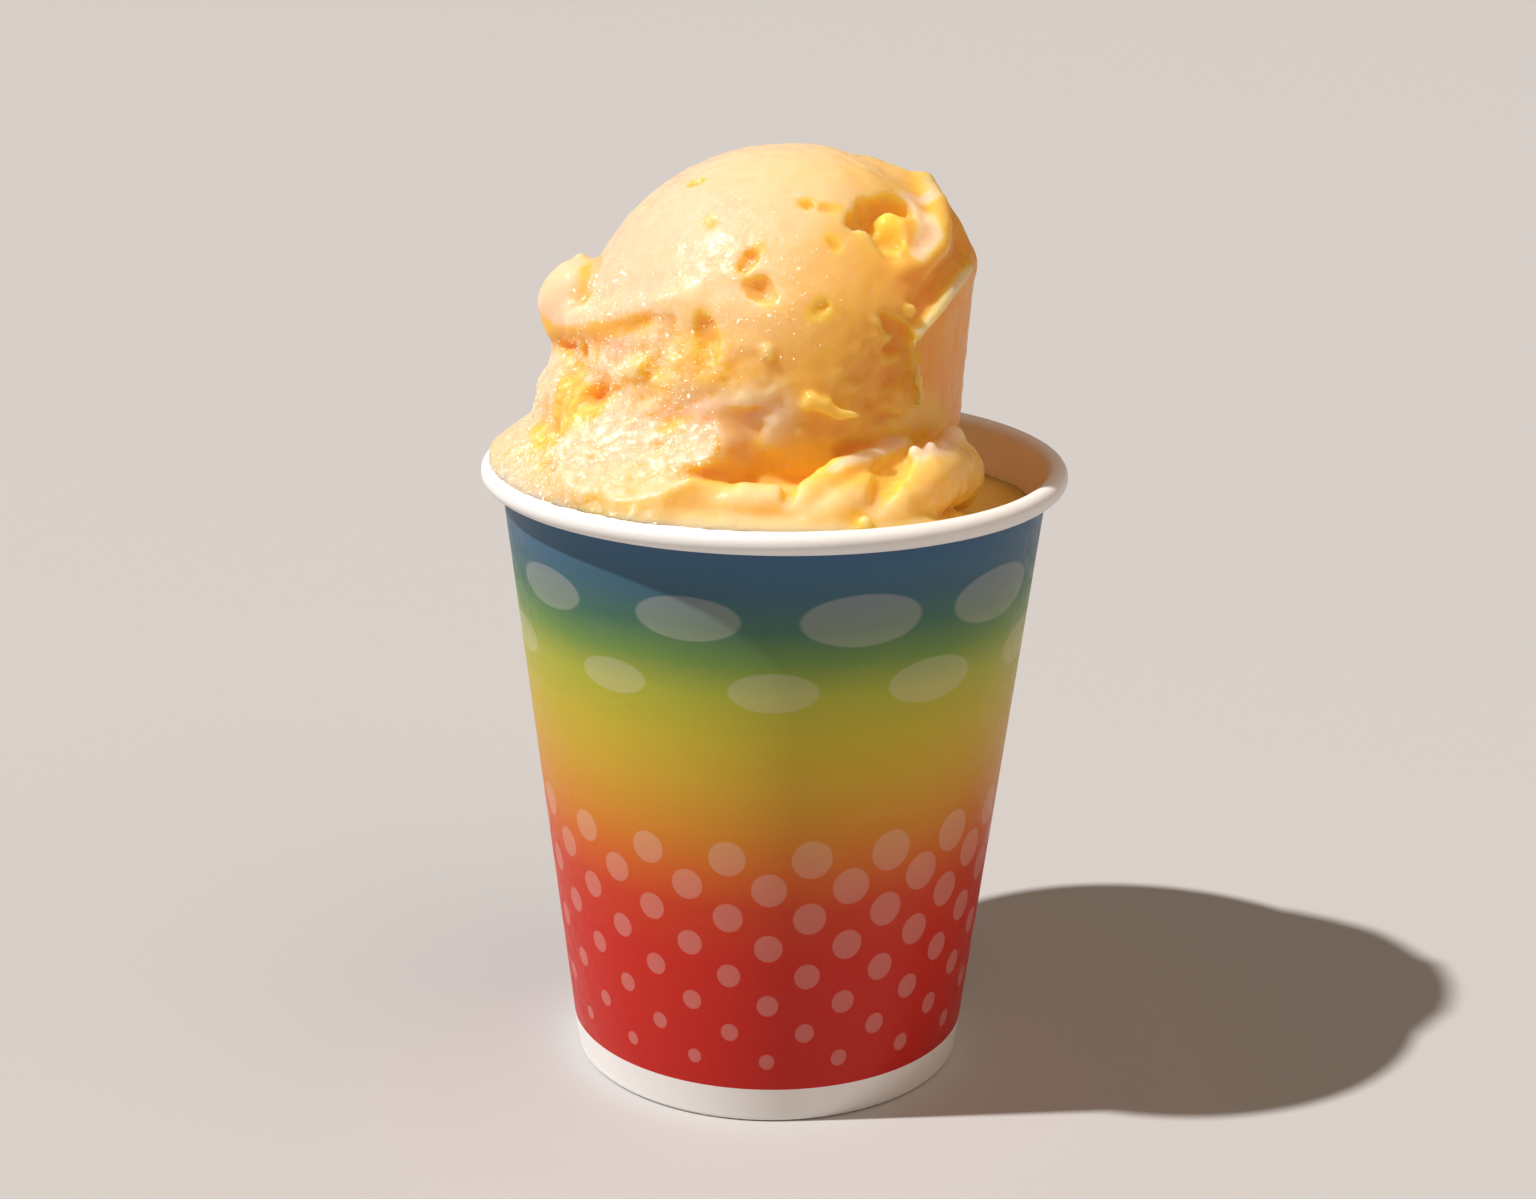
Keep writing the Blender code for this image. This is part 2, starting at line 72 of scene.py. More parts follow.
@dataclass(frozen=True)
class Stroke:
    """Chain of tapered rods that is joined to the sorbet or cut out of it.

    The ragged value is the share of noise that roughens it.  A station is x, y, z and radius, or on
    the ball the angle from the front towards the right, the angle upwards, the height above the ball
    and the radius.
    """

    name: str
    blend: float
    ragged: float
    stations: tuple[Station, ...]
    cut: bool = False


# Strokes in millimetres, round the left of the scoop
SHOULDER = (
    Stroke("shoulder", 2.5, 0.0, (
        (-24.0, 14.0, 104.0, 4.0), (-28.0, 7.0, 105.0, 5.0), (-29.4, -1.0, 105.6, 5.8),
        (-27.9, -8.0, 105.4, 5.6), (-23.9, -15.0, 104.6, 5.0), (-18.0, -21.0, 103.0, 3.4))),
)
SHOULDER_CLEFT = (
    Stroke("cleft", 0.5, 1.2, ((-34.5, -8.0, 103.4, 1.0), (-31.0, -15.5, 101.8, 1.6),
                               (-27.2, -20.6, 101.6, 1.0)), cut=True),
)
NECK = (
    Stroke("neck", 1.6, 0.0, ((-29.8, 1.0, 112.8, 2.7), (-30.2, -1.5, 110.6, 3.3),
                              (-29.6, -4.5, 108.8, 3.2))),
    Stroke("spur", 0.8, 0.8, ((-30.6, -14.2, 110.2, 1.0), (-31.6, -14.6, 107.0, 1.3),
                              (-32.4, -13.0, 104.6, 0.8))),
)

# Strokes on the ball
LIP = (
    Stroke("lip", 2.2, 0.0, (
        (-100, 7, 0.8, 2.4), (-87, 8.4, 1.2, 2.6), (-74, 10.6, 0.6, 2.6), (-62, 14.0, -0.6, 2.6),
        (-47, 19.0, -1.4, 2.5), (-38, 22.0, -1.7, 2.4), (-31, 24.0, -2.0, 2.2))),
    Stroke("crease", 0.6, 0.5, (
        (-88, 2.8, 5.6, 0.9), (-80, 3.6, 5.0, 1.1), (-70, 6.2, 3.4, 1.3), (-58, 9.8, 2.2, 1.3),
        (-48, 13.5, 1.5, 1.2), (-41, 16.0, 1.1, 1.0), (-33, 18.5, 0.6, 0.6)), cut=True),
    Stroke("ridge", 0.9, 0.0, (
        (-91, 24.0, 2.6, 0.9), (-88, 18.5, 2.9, 1.1), (-86, 13.0, 2.9, 1.1), (-80, 10.5, 1.9, 0.9))),
)
TROUGH = (
    Stroke("trough", 1.0, 0.4, (
        (88, 34, 1.6, 2.2), (70, 33, 1.6, 2.4), (54, 29.5, 1.5, 2.4), (44, 25, 1.4, 2.2),
        (36, 20, 1.2, 1.8)), cut=True),
)
FLAP = (
    Stroke("crest", 0.5, 0.0, (
        (90, 31.0, -0.5, 0.7), (73.6, 28.2, 0.0, 0.75), (54.4, 24.2, 0.15, 0.8), (45.3, 20.0, 0.15, 0.8),
        (39.5, 16.0, 0.1, 0.8), (36.5, 12.5, -0.1, 0.7), (37.5, 6.0, -0.8, 0.5), (40.4, -3.4, -1.5, 0.5))),
    Stroke("tear", 0.3, 1.2, (
        (27.5, 20, -0.4, 0.8), (30, 17.5, -0.9, 1.5), (33.5, 16.5, -0.9, 1.5),
        (31, 13, -1.2, 1.5)), cut=True),
)
CRATER = (
    Stroke("shell", 2.0, 0.0, (
        (104, 64, -3.4, 4.0), (99, 57, -2.6, 4.0), (95, 47, -1.9, 4.0), (93, 38, -2.4, 3.8),
        (92, 30, -3.0, 3.6))),
    Stroke("ear", 1.4, 0.0, (
        (112, 51, -1.3, 1.8), (97, 51.5, 0.6, 2.1), (84, 47, 0.5, 2.1), (68, 41.5, 0.4, 1.9),
        (56, 36.0, 0.1, 1.7), (46, 32.6, -0.4, 1.5), (38, 32.5, -0.8, 1.2))),
    Stroke("corner", 0.8, 0.0, ((99, 55.0, 0.2, 1.3), (97, 51.5, 1.7, 1.3), (93, 49.0, 0.6, 1.3))),
    Stroke("deep", 0.3, 1.2, (
        (22.5, 48.2, 0.3, 0.8), (29, 48.6, -0.2, 2.0), (40, 49.8, -0.4, 3.1), (53, 51.0, -0.4, 3.0),
        (60, 49.6, 0.0, 1.8), (62, 47.0, 0.3, 1.0)), cut=True),
    Stroke("tail", 0.35, 1.1, ((40, 46, -0.1, 2.9), (38, 41.5, 0.1, 2.4), (36, 37.5, 0.5, 1.3)), cut=True),
    Stroke("inner", 1.6, 0.3, ((46.5, 47.2, -2.2, 2.2), (50, 45.0, -2.1, 2.4), (55, 42.6, -2.0, 2.6))),
)
PITS = tuple(Stroke("pit", 0.25, 0.6, stations, cut=True) for stations in (
    ((-10.0, 39.4, 0.5, 0.6), (-12.0, 37.2, 0.0, 1.2), (-13.8, 34.4, 0.2, 1.0)),
    ((-11.4, 29.6, 0.3, 1.0), (-8.0, 28.6, 0.0, 1.8), (-5.6, 26.6, 0.2, 1.1)),
    ((-24.6, 19.8, 0.3, 0.9), (-23.0, 17.2, 0.0, 1.6), (-21.2, 13.4, 0.0, 1.6), (-20.0, 10.6, 0.3, 1.1)),
    ((-58.0, 58.5, 0.3, 0.6), (-55.0, 60.0, 0.2, 0.8)),
    ((6.0, 55.2, 0.2, 0.5), (8.6, 54.4, 0.0, 0.8)),
    ((15.0, 53.0, 0.4, 0.7), (20.0, 52.6, 0.4, 0.8)),
    ((15.0, 42.5, 0.3, 0.7), (16.6, 40.6, 0.2, 0.8)),
    ((7.6, 22.0, 0.4, 0.8), (10.4, 24.2, 0.4, 0.8)),
    ((-32.0, 47.0, 0.4, 0.6), (-30.0, 46.0, 0.4, 0.6)),
    ((130.0, 44.0, 0.1, 0.9), (136.0, 40.0, -0.5, 1.6), (140.0, 35.0, 0.1, 1.0)),
    ((-150.0, 38.0, 0.0, 0.8), (-155.0, 34.0, -0.6, 1.5), (-162.0, 33.0, 0.1, 0.9)),
    ((172.0, 24.0, 0.1, 0.8), (178.0, 20.0, -0.5, 1.3)),
))
FLAKES = (
    Stroke("flake", 0.5, 0.5, (
        (4.0, -1.4, -0.4, 0.9), (6.6, 0.0, 0.3, 1.3), (10.0, -1.0, 0.6, 1.1), (13.4, -3.0, 0.9, 0.8),
        (17.9, -3.9, 1.1, 0.6), (21.0, -4.3, 1.2, 0.45))),
    Stroke("shelf", 0.9, 0.6, (
        (-1.0, 4.4, -0.6, 1.0), (-5.5, 1.8, -0.2, 1.4), (-10.6, -0.4, 0.0, 1.5), (-16.0, -2.0, -0.3, 1.2))),
    Stroke("belly", 1.2, 0.6, ((-3.0, -7.0, -0.6, 1.6), (-4.0, -11.0, -0.8, 2.0))),
)
SCOOP_CRUMBS = (
    (-5.0, 12.3, 1.25), (36.0, 21.5, 0.8), (25.0, 19.0, 0.7), (-30.0, 8.0, 1.0), (-36.0, 3.0, 1.1),
    (-44.0, 6.0, 1.0), (-27.0, -3.0, 1.2), (-15.0, 6.0, 0.8),
)

# Strokes in millimetres, at the foot of the scoop and on the fill
VALLEY = (
    Stroke("valley", 1.4, 0.6, (
        (-14.0, -35.0, 101.4, 0.5), (-8.0, -33.8, 101.3, 1.2), (-2.0, -32.8, 101.4, 1.9),
        (3.0, -32.4, 101.9, 2.3), (8.5, -31.0, 103.2, 2.4), (16.0, -26.8, 105.0, 1.6)), cut=True),
    Stroke("under the flake", 0.8, 0.0, (
        (3.5, -31.0, 107.6, 0.9), (8.0, -30.6, 106.8, 1.5), (13.0, -29.0, 106.2, 1.2)), cut=True),
)
FOLDS = (
    Stroke("front roll", 0.8, 0.4, (
        (-27.0, -27.0, 94.4, 1.8), (-17.4, -32.4, 95.1, 2.3), (-10.4, -34.0, 96.5, 2.7),
        (-4.2, -35.0, 97.3, 3.0), (-0.4, -35.2, 97.2, 2.9), (1.4, -35.8, 96.6, 2.2))),
    Stroke("lobe", 1.0, 0.9, (
        (11.0, -34.6, 93.5, 3.4), (16.0, -31.0, 95.6, 4.4), (20.6, -26.0, 98.2, 4.8),
        (23.6, -20.0, 98.4, 4.7), (25.6, -14.0, 96.8, 4.9), (26.2, -8.0, 93.5, 4.0))),
    Stroke("apron", 1.2, 0.0, ((4.6, -36.2, 94.6, 2.8), (9.0, -34.4, 96.4, 3.2), (12.6, -31.4, 98.0, 3.0))),
    Stroke("ridge", 0.9, 0.5, (
        (3.2, -35.6, 97.0, 2.0), (5.2, -33.6, 98.4, 2.2), (7.3, -31.8, 99.8, 2.3), (9.3, -30.2, 100.7, 2.3),
        (12.5, -28.2, 101.5, 2.2), (15.9, -25.6, 101.8, 2.0), (18.2, -23.0, 102.8, 1.5))),
    Stroke("core", 1.0, 0.0, ((10.0, -30.0, 95.0, 4.0), (17.0, -26.0, 97.0, 4.2), (21.0, -19.0, 97.0, 4.0))),
    Stroke("cleft", 0.6, 0.6, (
        (19.0, -25.4, 104.2, 1.0), (17.2, -29.0, 102.2, 2.0), (15.2, -33.0, 100.2, 2.1),
        (13.8, -36.4, 98.0, 1.4)), cut=True),
    Stroke("notch", 0.7, 0.0, ((1.8, -33.0, 100.4, 0.9), (2.0, -38.0, 98.6, 0.8)), cut=True),
    Stroke("knob", 0.5, 0.4, ((25.8, -16.0, 96.5, 3.4), (25.5, -17.2, 99.8, 2.8), (25.2, -17.8, 102.7, 1.9))),
)
FILL_CRUMBS = (
    (12.4, -38.2, 95.9, 1.2), (4.0, -38.8, 95.4, 1.0), (-11.0, -37.8, 95.6, 1.0), (21.4, -20.6, 101.2, 1.3),
    (28.0, -16.0, 99.4, 0.9), (-20.0, -34.6, 95.2, 1.0), (18.0, -30.6, 98.8, 1.1), (24.0, -24.0, 97.6, 1.2),
    (19.6, -26.6, 102.8, 1.0), (21.8, -24.6, 103.0, 0.8), (23.6, -22.2, 102.7, 0.9),
)

# Where shade is painted: under the lip and in creases, hollows and pits; then the crests and the tongue,
# which are painted pale as if lit
CREASE_SHADE_ON_BALL = (
    ((-92, 14, 7.0, 0.6), (-88, 7.5, 6.2, 1.0), (-78, 6.5, 4.2, 0.9), (-66, 9.0, 2.6, 0.9),
     (-57, 11.5, 1.6, 0.9), (-50, 14.0, 0.9, 0.8), (-42, 17.0, 0.4, 0.5)),
    ((-82, 24.0, 1.5, 0.2), (-78.6, 19.1, 0.8, 0.5), (-74, 16.0, 0.4, 0.2)),
    ((-25.1, -6.4, 0.6, 0.4), (-30.0, -9.5, 1.2, 1.2), (-33.1, -11.9, 1.9, 0.4)),
    ((27, 48.4, -0.6, 0.6), (40, 49.8, -1.6, 1.8), (53, 52.0, -1.6, 1.2), (39, 43, -0.8, 1.4)),
)
CREASE_SHADE_LOW = (
    ((-31.4, -12.6, 108.6, 3.0), (-30.4, -14.0, 105.6, 4.2), (-26.6, -17.6, 105.4, 3.4)),
    ((-35.0, -8.0, 101.0, 1.0), (-33.4, -12.7, 100.3, 1.1), (-31.0, -19.5, 100.6, 0.6)),
    ((18.4, -26.4, 103.2, 0.6), (17.0, -29.4, 101.4, 1.2), (15.2, -33.0, 99.6, 0.9)),
)
# Crests painted pale as painted highlights, and the tongue's spine, where the painted shade is lowered
EAR_CREST = ((100, 52, 1.5, 0.8), (84, 48, 1.2, 0.9), (66, 53, 0.4, 0.8), (62.9, 47.0, 0.6, 1.4),
             (56, 40.0, 0.5, 1.5), (46, 35.4, 0.2, 1.0))
FLAP_CREST = ((73.6, 28.2, 0.2, 0.3), (54.4, 24.2, 0.3, 0.6), (45.3, 20.0, 0.2, 0.5), (38, 15.5, 0.2, 0.3))
FOLD_CREST = ((8.0, -32.0, 101.8, 0.6), (12.5, -29.2, 103.2, 0.9), (17.4, -24.6, 103.8, 0.8))
KNOB_CREST = ((20.0, -27.0, 103.4, 1.2), (24.0, -22.0, 103.2, 1.4), (25.2, -17.8, 103.6, 1.4))
TONGUE_SPINE = ((-24.0, -24.0, 103.0, 3.0), (-16.0, -28.0, 105.0, 3.5), (-9.0, -30.5, 106.5, 3.5),
                (-1.0, -31.5, 108.5, 2.2))


def srgb(red: int, green: int, blue: int) -> Colour:
    """Linear colour of an 8-bit display colour.

    Args:
        red, green, blue: values from 0 to 255.

    Returns:
        The colour as three linear values.
    """
    shares = (np.array((red, green, blue)) / 255.0 + 0.055) / 1.055
    return tuple(float(s) for s in np.maximum(shares, 0.0) ** 2.4)


def lattice_noise(points: np.ndarray, wavelength: float, seed: int) -> np.ndarray:
    """Smooth random values between -1 and 1.

    Args:
        points: places in millimetres, one per row.
        wavelength: distance over which the value changes, in millimetres.
        seed: number that fixes the draw.

    Returns:
        One value per point.
    """
    table = np.random.default_rng(seed).uniform(-1.0, 1.0, NOISE_TABLE**3).astype(np.float32)
    cells = points / wavelength
    low = np.floor(cells)
    part = (cells - low).astype(np.float32)
    part = part * part * (3.0 - 2.0 * part)
    lower = low.astype(np.int64) % NOISE_TABLE
    upper = (lower + 1) % NOISE_TABLE
    rows = [side[:, 0] * NOISE_TABLE**2 for side in (lower, upper)]
    lines = [side[:, 1] * NOISE_TABLE for side in (lower, upper)]
    ends = (lower[:, 2], upper[:, 2])

    def along_z(row: np.ndarray, line: np.ndarray) -> np.ndarray:
        """Table values between the two ends of one line of cells."""
        first, second = (table[row + line + end] for end in ends)
        return first + (second - first) * part[:, 2]

    planes = []
    for row in rows:
        near, far = (along_z(row, line) for line in lines)
        planes.append(near + (far - near) * part[:, 1])
    return planes[0] + (planes[1] - planes[0]) * part[:, 0]


def smooth_union(a: Body, b: Body, blend: float | np.ndarray) -> Body:
    """Two bodies joined with a fillet of about the given size."""
    share = np.clip(0.5 + 0.5 * (b - a) / blend, 0.0, 1.0)
    return b + (a - b) * share - blend * share * (1.0 - share)


def smooth_cut(a: Body, b: Body, blend: float) -> Body:
    """The first body without the second, its new edges rounded by about the given size."""
    return -smooth_union(-a, b, blend)


def ball(points: np.ndarray, centre: Sequence[float], radius: float) -> Body:
    """Distance to a ball."""
    return np.linalg.norm(points - np.array(centre), axis=1) - radius


def lump(points: np.ndarray, centre: Sequence[float], radii: Point, turn_deg: float = 0.0) -> Body:
    """Distance to an ellipsoid turned about the vertical.

    Args:
        points: places in millimetres, one per row.
        centre: middle of the ellipsoid.
        radii: half sizes along its own x, y and z.
        turn_deg: turn of its x axis about the vertical.

    Returns:
        One value per point, never more than the true distance.
    """
    offset = points - np.array(centre)
    c, s = math.cos(math.radians(turn_deg)), math.sin(math.radians(turn_deg))
    across = offset[:, 0] * c + offset[:, 1] * s
    along = offset[:, 1] * c - offset[:, 0] * s
    flat = (across / radii[0]) ** 2 + (along / radii[1]) ** 2
    return (np.sqrt(flat + (offset[:, 2] / radii[2]) ** 2) - 1.0) * min(radii)


def roll(points: np.ndarray, *stations: Station) -> Body:
    """Distance to a chain of tapered rods.

    Args:
        points: places in millimetres, one per row.
        stations: x, y, z and radius at each end of a rod.

    Returns:
        One value per point.
    """
    nearest = np.full(len(points), np.inf)
    for (*first, r_start), (*second, r_end) in zip(stations, stations[1:]):
        start = np.array(first, float)
        along = np.array(second, float) - start
        share = np.clip((points - start) @ along / (along @ along), 0.0, 1.0)
        gap = np.linalg.norm(points - start - share[:, None] * along, axis=1)
        nearest = np.minimum(nearest, gap - (r_start + (r_end - r_start) * share))
    return nearest


def patches(points: np.ndarray, places: Sequence[tuple[Point, float, float]]) -> np.ndarray:
    """Amount of something that is gathered in soft round patches.

    Args:
        points: places in millimetres, one per row.
        places: middle, reach and highest amount of each patch.

    Returns:
        One value per point, the highest of the patches' amounts.
    """
    highest = np.zeros(len(points))
    for centre, reach, amount in places:
        share = np.clip(1.0 - np.linalg.norm(points - np.array(centre), axis=1) / reach, 0.0, 1.0)
        highest = np.maximum(highest, amount * share * (2.0 - share))
    return highest


def around(values: Mapping[int, float], azimuth_deg: np.ndarray) -> np.ndarray:
    """Value of a quantity given at a few azimuths, read all the way round.

    Args:
        values: amount at each azimuth in degrees, between -180 and 180.
        azimuth_deg: azimuths to read it at.

    Returns:
        One value per azimuth, changing smoothly.
    """
    angles = sorted(values)
    wrapped = [angles[-1] - 360] + angles + [angles[0] + 360]
    amounts = np.array([values[angles[-1]]] + [values[a] for a in angles] + [values[angles[0]]])
    place = (azimuth_deg + 180.0) % 360.0 - 180.0
    step = np.interp(place, wrapped, np.arange(len(wrapped), dtype=float))
    low = np.clip(np.floor(step).astype(int), 0, len(wrapped) - 2)
    share = step - low
    share = share * share * (3.0 - 2.0 * share)
    return amounts[low] * (1.0 - share) + amounts[low + 1] * share


@dataclass(frozen=True)
class CupShape:
    """Sizes of the paper cup in millimetres, read from the frame where it shows them."""

    height: float
    rim_radius: float
    foot_radius: float = 30.2
    paper: float = 0.5
    fit_gap: float = 0.3
    room_gap: float = -0.15
    curl_radius: float = 1.65
    curl_end_deg: float = -116.0
    foot_bend: float = 0.7
    hem_height: float = 6.4
    base_top: float = 7.6
    foot_band: float = 5.7

    @classmethod
    def from_frame(cls) -> CupShape:
        """Cup whose height and rim are those of the frame's wall."""
        low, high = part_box("cup_wall")
        return cls(height=high[2] / MM, rim_radius=(high[0] - low[0]) / 2.0 / MM)

    @property
    def curl_centre(self) -> tuple[float, float]:
        """Radius and height of the middle of the rim's curl."""
        return self.rim_radius - self.curl_radius, self.height - self.curl_radius

    def inner_radius(self, height: float | np.ndarray) -> float | np.ndarray:
        """Radius of the wall's inner face.

        Args:
            height: height or heights above the ground.

        Returns:
            The radius at each height, constant above the wall's straight part.
        """
        top_radius = self.rim_radius - 2.0 * self.curl_radius
        lean = (top_radius - self.foot_radius + self.paper) / (self.height - self.curl_radius)
        return self.foot_radius - self.paper + lean * np.minimum(height, self.height - self.curl_radius)

    def room(self, points: np.ndarray) -> Body:
        """Space inside the wall and over the inner half of the curl, a hair's breadth into the paper.

        Args:
            points: places in millimetres, one per row.

        Returns:
            Distance to that space.
        """
        x, y, z = points.T
        out = np.hypot(x, y)
        curl_out, curl_up = self.curl_centre
        inside = out - (self.inner_radius(z) - self.room_gap)
        over = self.curl_radius + self.room_gap - np.hypot(out - curl_out, z - curl_up)
        return np.where(z < curl_up, inside, np.maximum(over, out - curl_out - self.paper))


@dataclass
class Clay:
    """Body that is being modelled, read at a set of points."""

    points: np.ndarray
    body: Body
    ragged: np.ndarray

    def join(self, other: Body, blend: float, ragged: float = 0.0) -> None:
        """Join another body with a fillet, roughened by a share of the ragged noise."""
        self.body = smooth_union(self.body, other + ragged * self.ragged, blend)

    def cut(self, other: Body, blend: float, ragged: float = 0.0) -> None:
        """Cut another body out, roughened by a share of the ragged noise."""
        self.body = smooth_cut(self.body, other + ragged * self.ragged, blend)

    def work(self, strokes: Sequence[Stroke], rods: Callable[..., Body] = roll) -> None:
        """Join or cut strokes one after the other.

        Args:
            strokes: the strokes, in their order.
            rods: the function that reads their stations.
        """
        for stroke in strokes:
            deed = self.cut if stroke.cut else self.join
            deed(rods(self.points, *stroke.stations), stroke.blend, stroke.ragged)


@dataclass
class SorbetForm:
    """Shape of the sorbet: a scoop pressed onto a packed fill."""

    cup: CupShape
    centre: Point = (1.5, 1.0, 110.8)
    radius: float = 31.0
    column_centre: tuple[float, float] = (-0.8, 1.0)
    column_radius: float = 28.4
    column_blend: float = 5.0
    flank_centre: tuple[float, float] = (-6.0, 1.0)
    flank_radius: float = 35.0
    flank_top: float = 122.0
    flank_taper: float = 0.07
    flank_blend: float = 1.0
    slope_width: float = 10.0
    slope_scale: float = 0.8
    streak: Point = (0.62, -0.48, 0.62)
    streak_squeeze: float = 0.55
    edge: Mapping[int, float] = field(default_factory=lambda: {
        -180: 98.3, -150: 97.6, -130: 97.0, -95: 96.0, -60: 95.0, -42: 91.5, -20: 88.3, 20: 87.5,
        60: 88.0, 95: 90.5, 130: 95.5})
    rise: Mapping[int, float] = field(default_factory=lambda: {
        -180: 7.5, -150: 7.5, -130: 7.5, -95: 3.0, -60: 2.5, -42: 2.0, -20: 0.6, 20: 0.4, 60: 0.8,
        95: 3.0, 130: 6.0})
    weld: Mapping[int, float] = field(default_factory=lambda: {
        -180: 3.0, -150: 4.5, -120: 4.0, -95: 1.5, -60: 0.7, -42: 0.7, -20: 0.7, 20: 0.7, 60: 0.9,
        95: 1.5, 130: 3.0})

    def on_scoop(self, lon_deg: float, lat_deg: float, height: float = 0.0) -> Point:
        """Point above the ball.

        Args:
            lon_deg: angle from the front towards the right.
            lat_deg: angle upwards.
            height: distance out of the ball's surface.

        Returns:
            The point in millimetres.
        """
        lon, lat = math.radians(lon_deg), math.radians(lat_deg)
        reach = self.radius + height
        return (
            self.centre[0] + reach * math.cos(lat) * math.sin(lon),
            self.centre[1] - reach * math.cos(lat) * math.cos(lon),
            self.centre[2] + reach * math.sin(lat),
        )

    def stroke(self, points: np.ndarray, *stations: Station) -> Body:
        """Distance to a chain of rods whose stations are given on the ball."""
        return roll(points, *((*self.on_scoop(*s[:3]), s[3]) for s in stations))

    def whole(self, points: np.ndarray) -> Body:
        """Scoop and fill as one body, welded wide at the left and with a crease at the right.

        Args:
            points: places in millimetres, one per row.

        Returns:
            Distance to the body, with the relief of its surface.
        """
        x, y, _ = points.T
        blend = around(self.weld, np.degrees(np.arctan2(y, x)))
        body = smooth_union(self.scoop(points), self.fill(points), blend)
        rough = self.roughness(points)
        streaked = self.along_streaks(points)
        clumps = 0.4 - np.abs(lattice_noise(streaked, 3.6, 14))
        crumbs = 0.4 - np.abs(lattice_noise(points, 1.9, 15))
        body = body + 0.20 * lattice_noise(points, 6.5, 11) + 0.10 * lattice_noise(points, 2.2, 12)
        body = body + rough * (0.7 * lattice_noise(streaked, 5.0, 13) + 1.7 * clumps + 0.9 * crumbs)
        return body + (0.03 + 0.26 * rough) * lattice_noise(points, 1.5, 16)

    def along_streaks(self, points: np.ndarray) -> np.ndarray:
        """Places drawn together along the streaks that the scoop left, up to the right."""
        streak = np.array(self.streak) / np.linalg.norm(self.streak)
        return points - self.streak_squeeze * (points @ streak)[:, None] * streak

    def roughness(self, points: np.ndarray) -> np.ndarray:
        """Share of torn, crumbly surface: high under the lip, on the slope and in the dish.

        Args:
            points: places in millimetres, one per row.

        Returns:
            One value per point, from 0 to 1.
        """
        at = self.on_scoop
        return patches(points, (
            (at(-70, -14, 3.0), 18.0, 0.9), (at(-45, -26, 4.0), 17.0, 0.75), (at(-38, 2, 0.0), 13.0, 0.7),
            (at(-12, 2, 0.0), 10.0, 0.45), (at(28, 6, 0.0), 11.0, 0.55), (at(48, 44, 0.0), 7.0, 0.15),
            (at(12, -10, 0.0), 9.0, 0.35), (at(150, 0, 0.0), 26.0, 0.6), (at(-140, -5, 2.0), 24.0, 0.7),
        ))

    def scoop(self, points: np.ndarray) -> Body:
        """The ball on its column, pressed flat at its right, with its lip, ear and pits.

        Args:
            points: places in millimetres, one per row.

        Returns:
            Distance to the scoop.
        """
        x, y, z = points.T
        body = ball(points, self.centre, self.radius)
        column = np.hypot(x - self.column_centre[0], y - self.column_centre[1]) - self.column_radius
        body = smooth_union(body, np.maximum(column, z - self.centre[2]), self.column_blend)
        flank_radius = self.flank_radius - self.flank_taper * (self.flank_top - z)
        flank = np.hypot(x - self.flank_centre[0], y - self.flank_centre[1]) - flank_radius
        body = -smooth_union(-body, -flank, self.flank_blend)
        ragged = 0.45 * lattice_noise(points, 2.2, 21) + 0.25 * lattice_noise(points, 1.3, 22)
        clay = Clay(points, body, ragged)
        self.model_shoulder(clay)
        clay.join(lump(points, (-28.8, 0.2, 118.0), (6.5, 6.2, 6.9)), 1.2)
        clay.work(LIP, self.stroke)
        self.model_dish(clay)
        clay.work(CRATER + PITS, self.stroke)
        clay.work(VALLEY)
        clay.work(FLAKES, self.stroke)
        for lon, lat, size in SCOOP_CRUMBS:
            clay.join(ball(points, self.on_scoop(lon, lat, -0.2), size), 0.5, 0.5)
        return clay.body

    def model_shoulder(self, clay: Clay) -> None:
        """The thick shoulder under the lip, the hollow torn into it and the tongue that faces the sun.

        Args:
            clay: the scoop, which is changed.
        """
        clay.work(SHOULDER)
        clay.cut(lump(clay.points, (-28.0, -20.4, 107.2), (5.4, 4.6, 4.9), 35.0), 0.5, 1.7)
        clay.work(SHOULDER_CLEFT)
        below = clay.points @ np.array((-0.355, -0.547, 0.758)) - 100.6
        tongue = np.maximum(below, lump(clay.points, (-16.5, -24.0, 101.0), (13.5, 12.5, 9.5), -25.0))
        clay.join(tongue, 2.5, 0.8)
        clay.work(NECK)

    def model_dish(self, clay: Clay) -> None:
        """The dished front and the flap of the smooth flank that ends it at the right.

        Args:
            clay: the scoop, which is changed.
        """
        x, y, z = clay.points.T
        clay.work(TROUGH, self.stroke)
        lon = np.degrees(np.arctan2(x - self.centre[0], self.centre[1] - y))
        flap_lon = np.interp(z, (98.0, 103.5, 109.0, 114.0, 117.5, 119.4, 121.4, 123.4, 125.4),
                             (46.0, 43.0, 39.4, 36.5, 35.7, 39.1, 45.3, 54.4, 73.6))
        past_flap = np.radians(lon - flap_lon) * self.radius
        ledges = 0.7 * lattice_noise(clay.points * np.array((1.0, 1.0, 2.6)), 4.0, 23)
        dish = lump(clay.points, self.on_scoop(30, 2, 6.3), (12.5, 9.3, 14.5), 30.0) + ledges + clay.ragged
        clay.cut(np.maximum(dish, past_flap), 0.5)
        clay.work(FLAP, self.stroke)

    def fill(self, points: np.ndarray) -> Body:
        """The fill: level with the rim at the left and front, low at the right, folded up in front.

        Args:
            points: places in millimetres, one per row.

        Returns:
            Distance to the fill.
        """
        x, y, z = points.T
        azimuth = np.degrees(np.arctan2(y, x))
        inset = (self.cup.inner_radius(self.cup.height) - np.hypot(x, y)) / self.slope_width
        top = around(self.edge, azimuth)
        body = (z - top - around(self.rise, azimuth) * np.clip(inset, -0.3, 1.0)) * self.slope_scale
        clay = Clay(points, body, 0.35 * lattice_noise(points, 2.0, 31))
        clay.work(FOLDS)
        for *place, size in FILL_CRUMBS:
            clay.join(ball(points, place, size), 0.6, 0.5)
        return clay.body


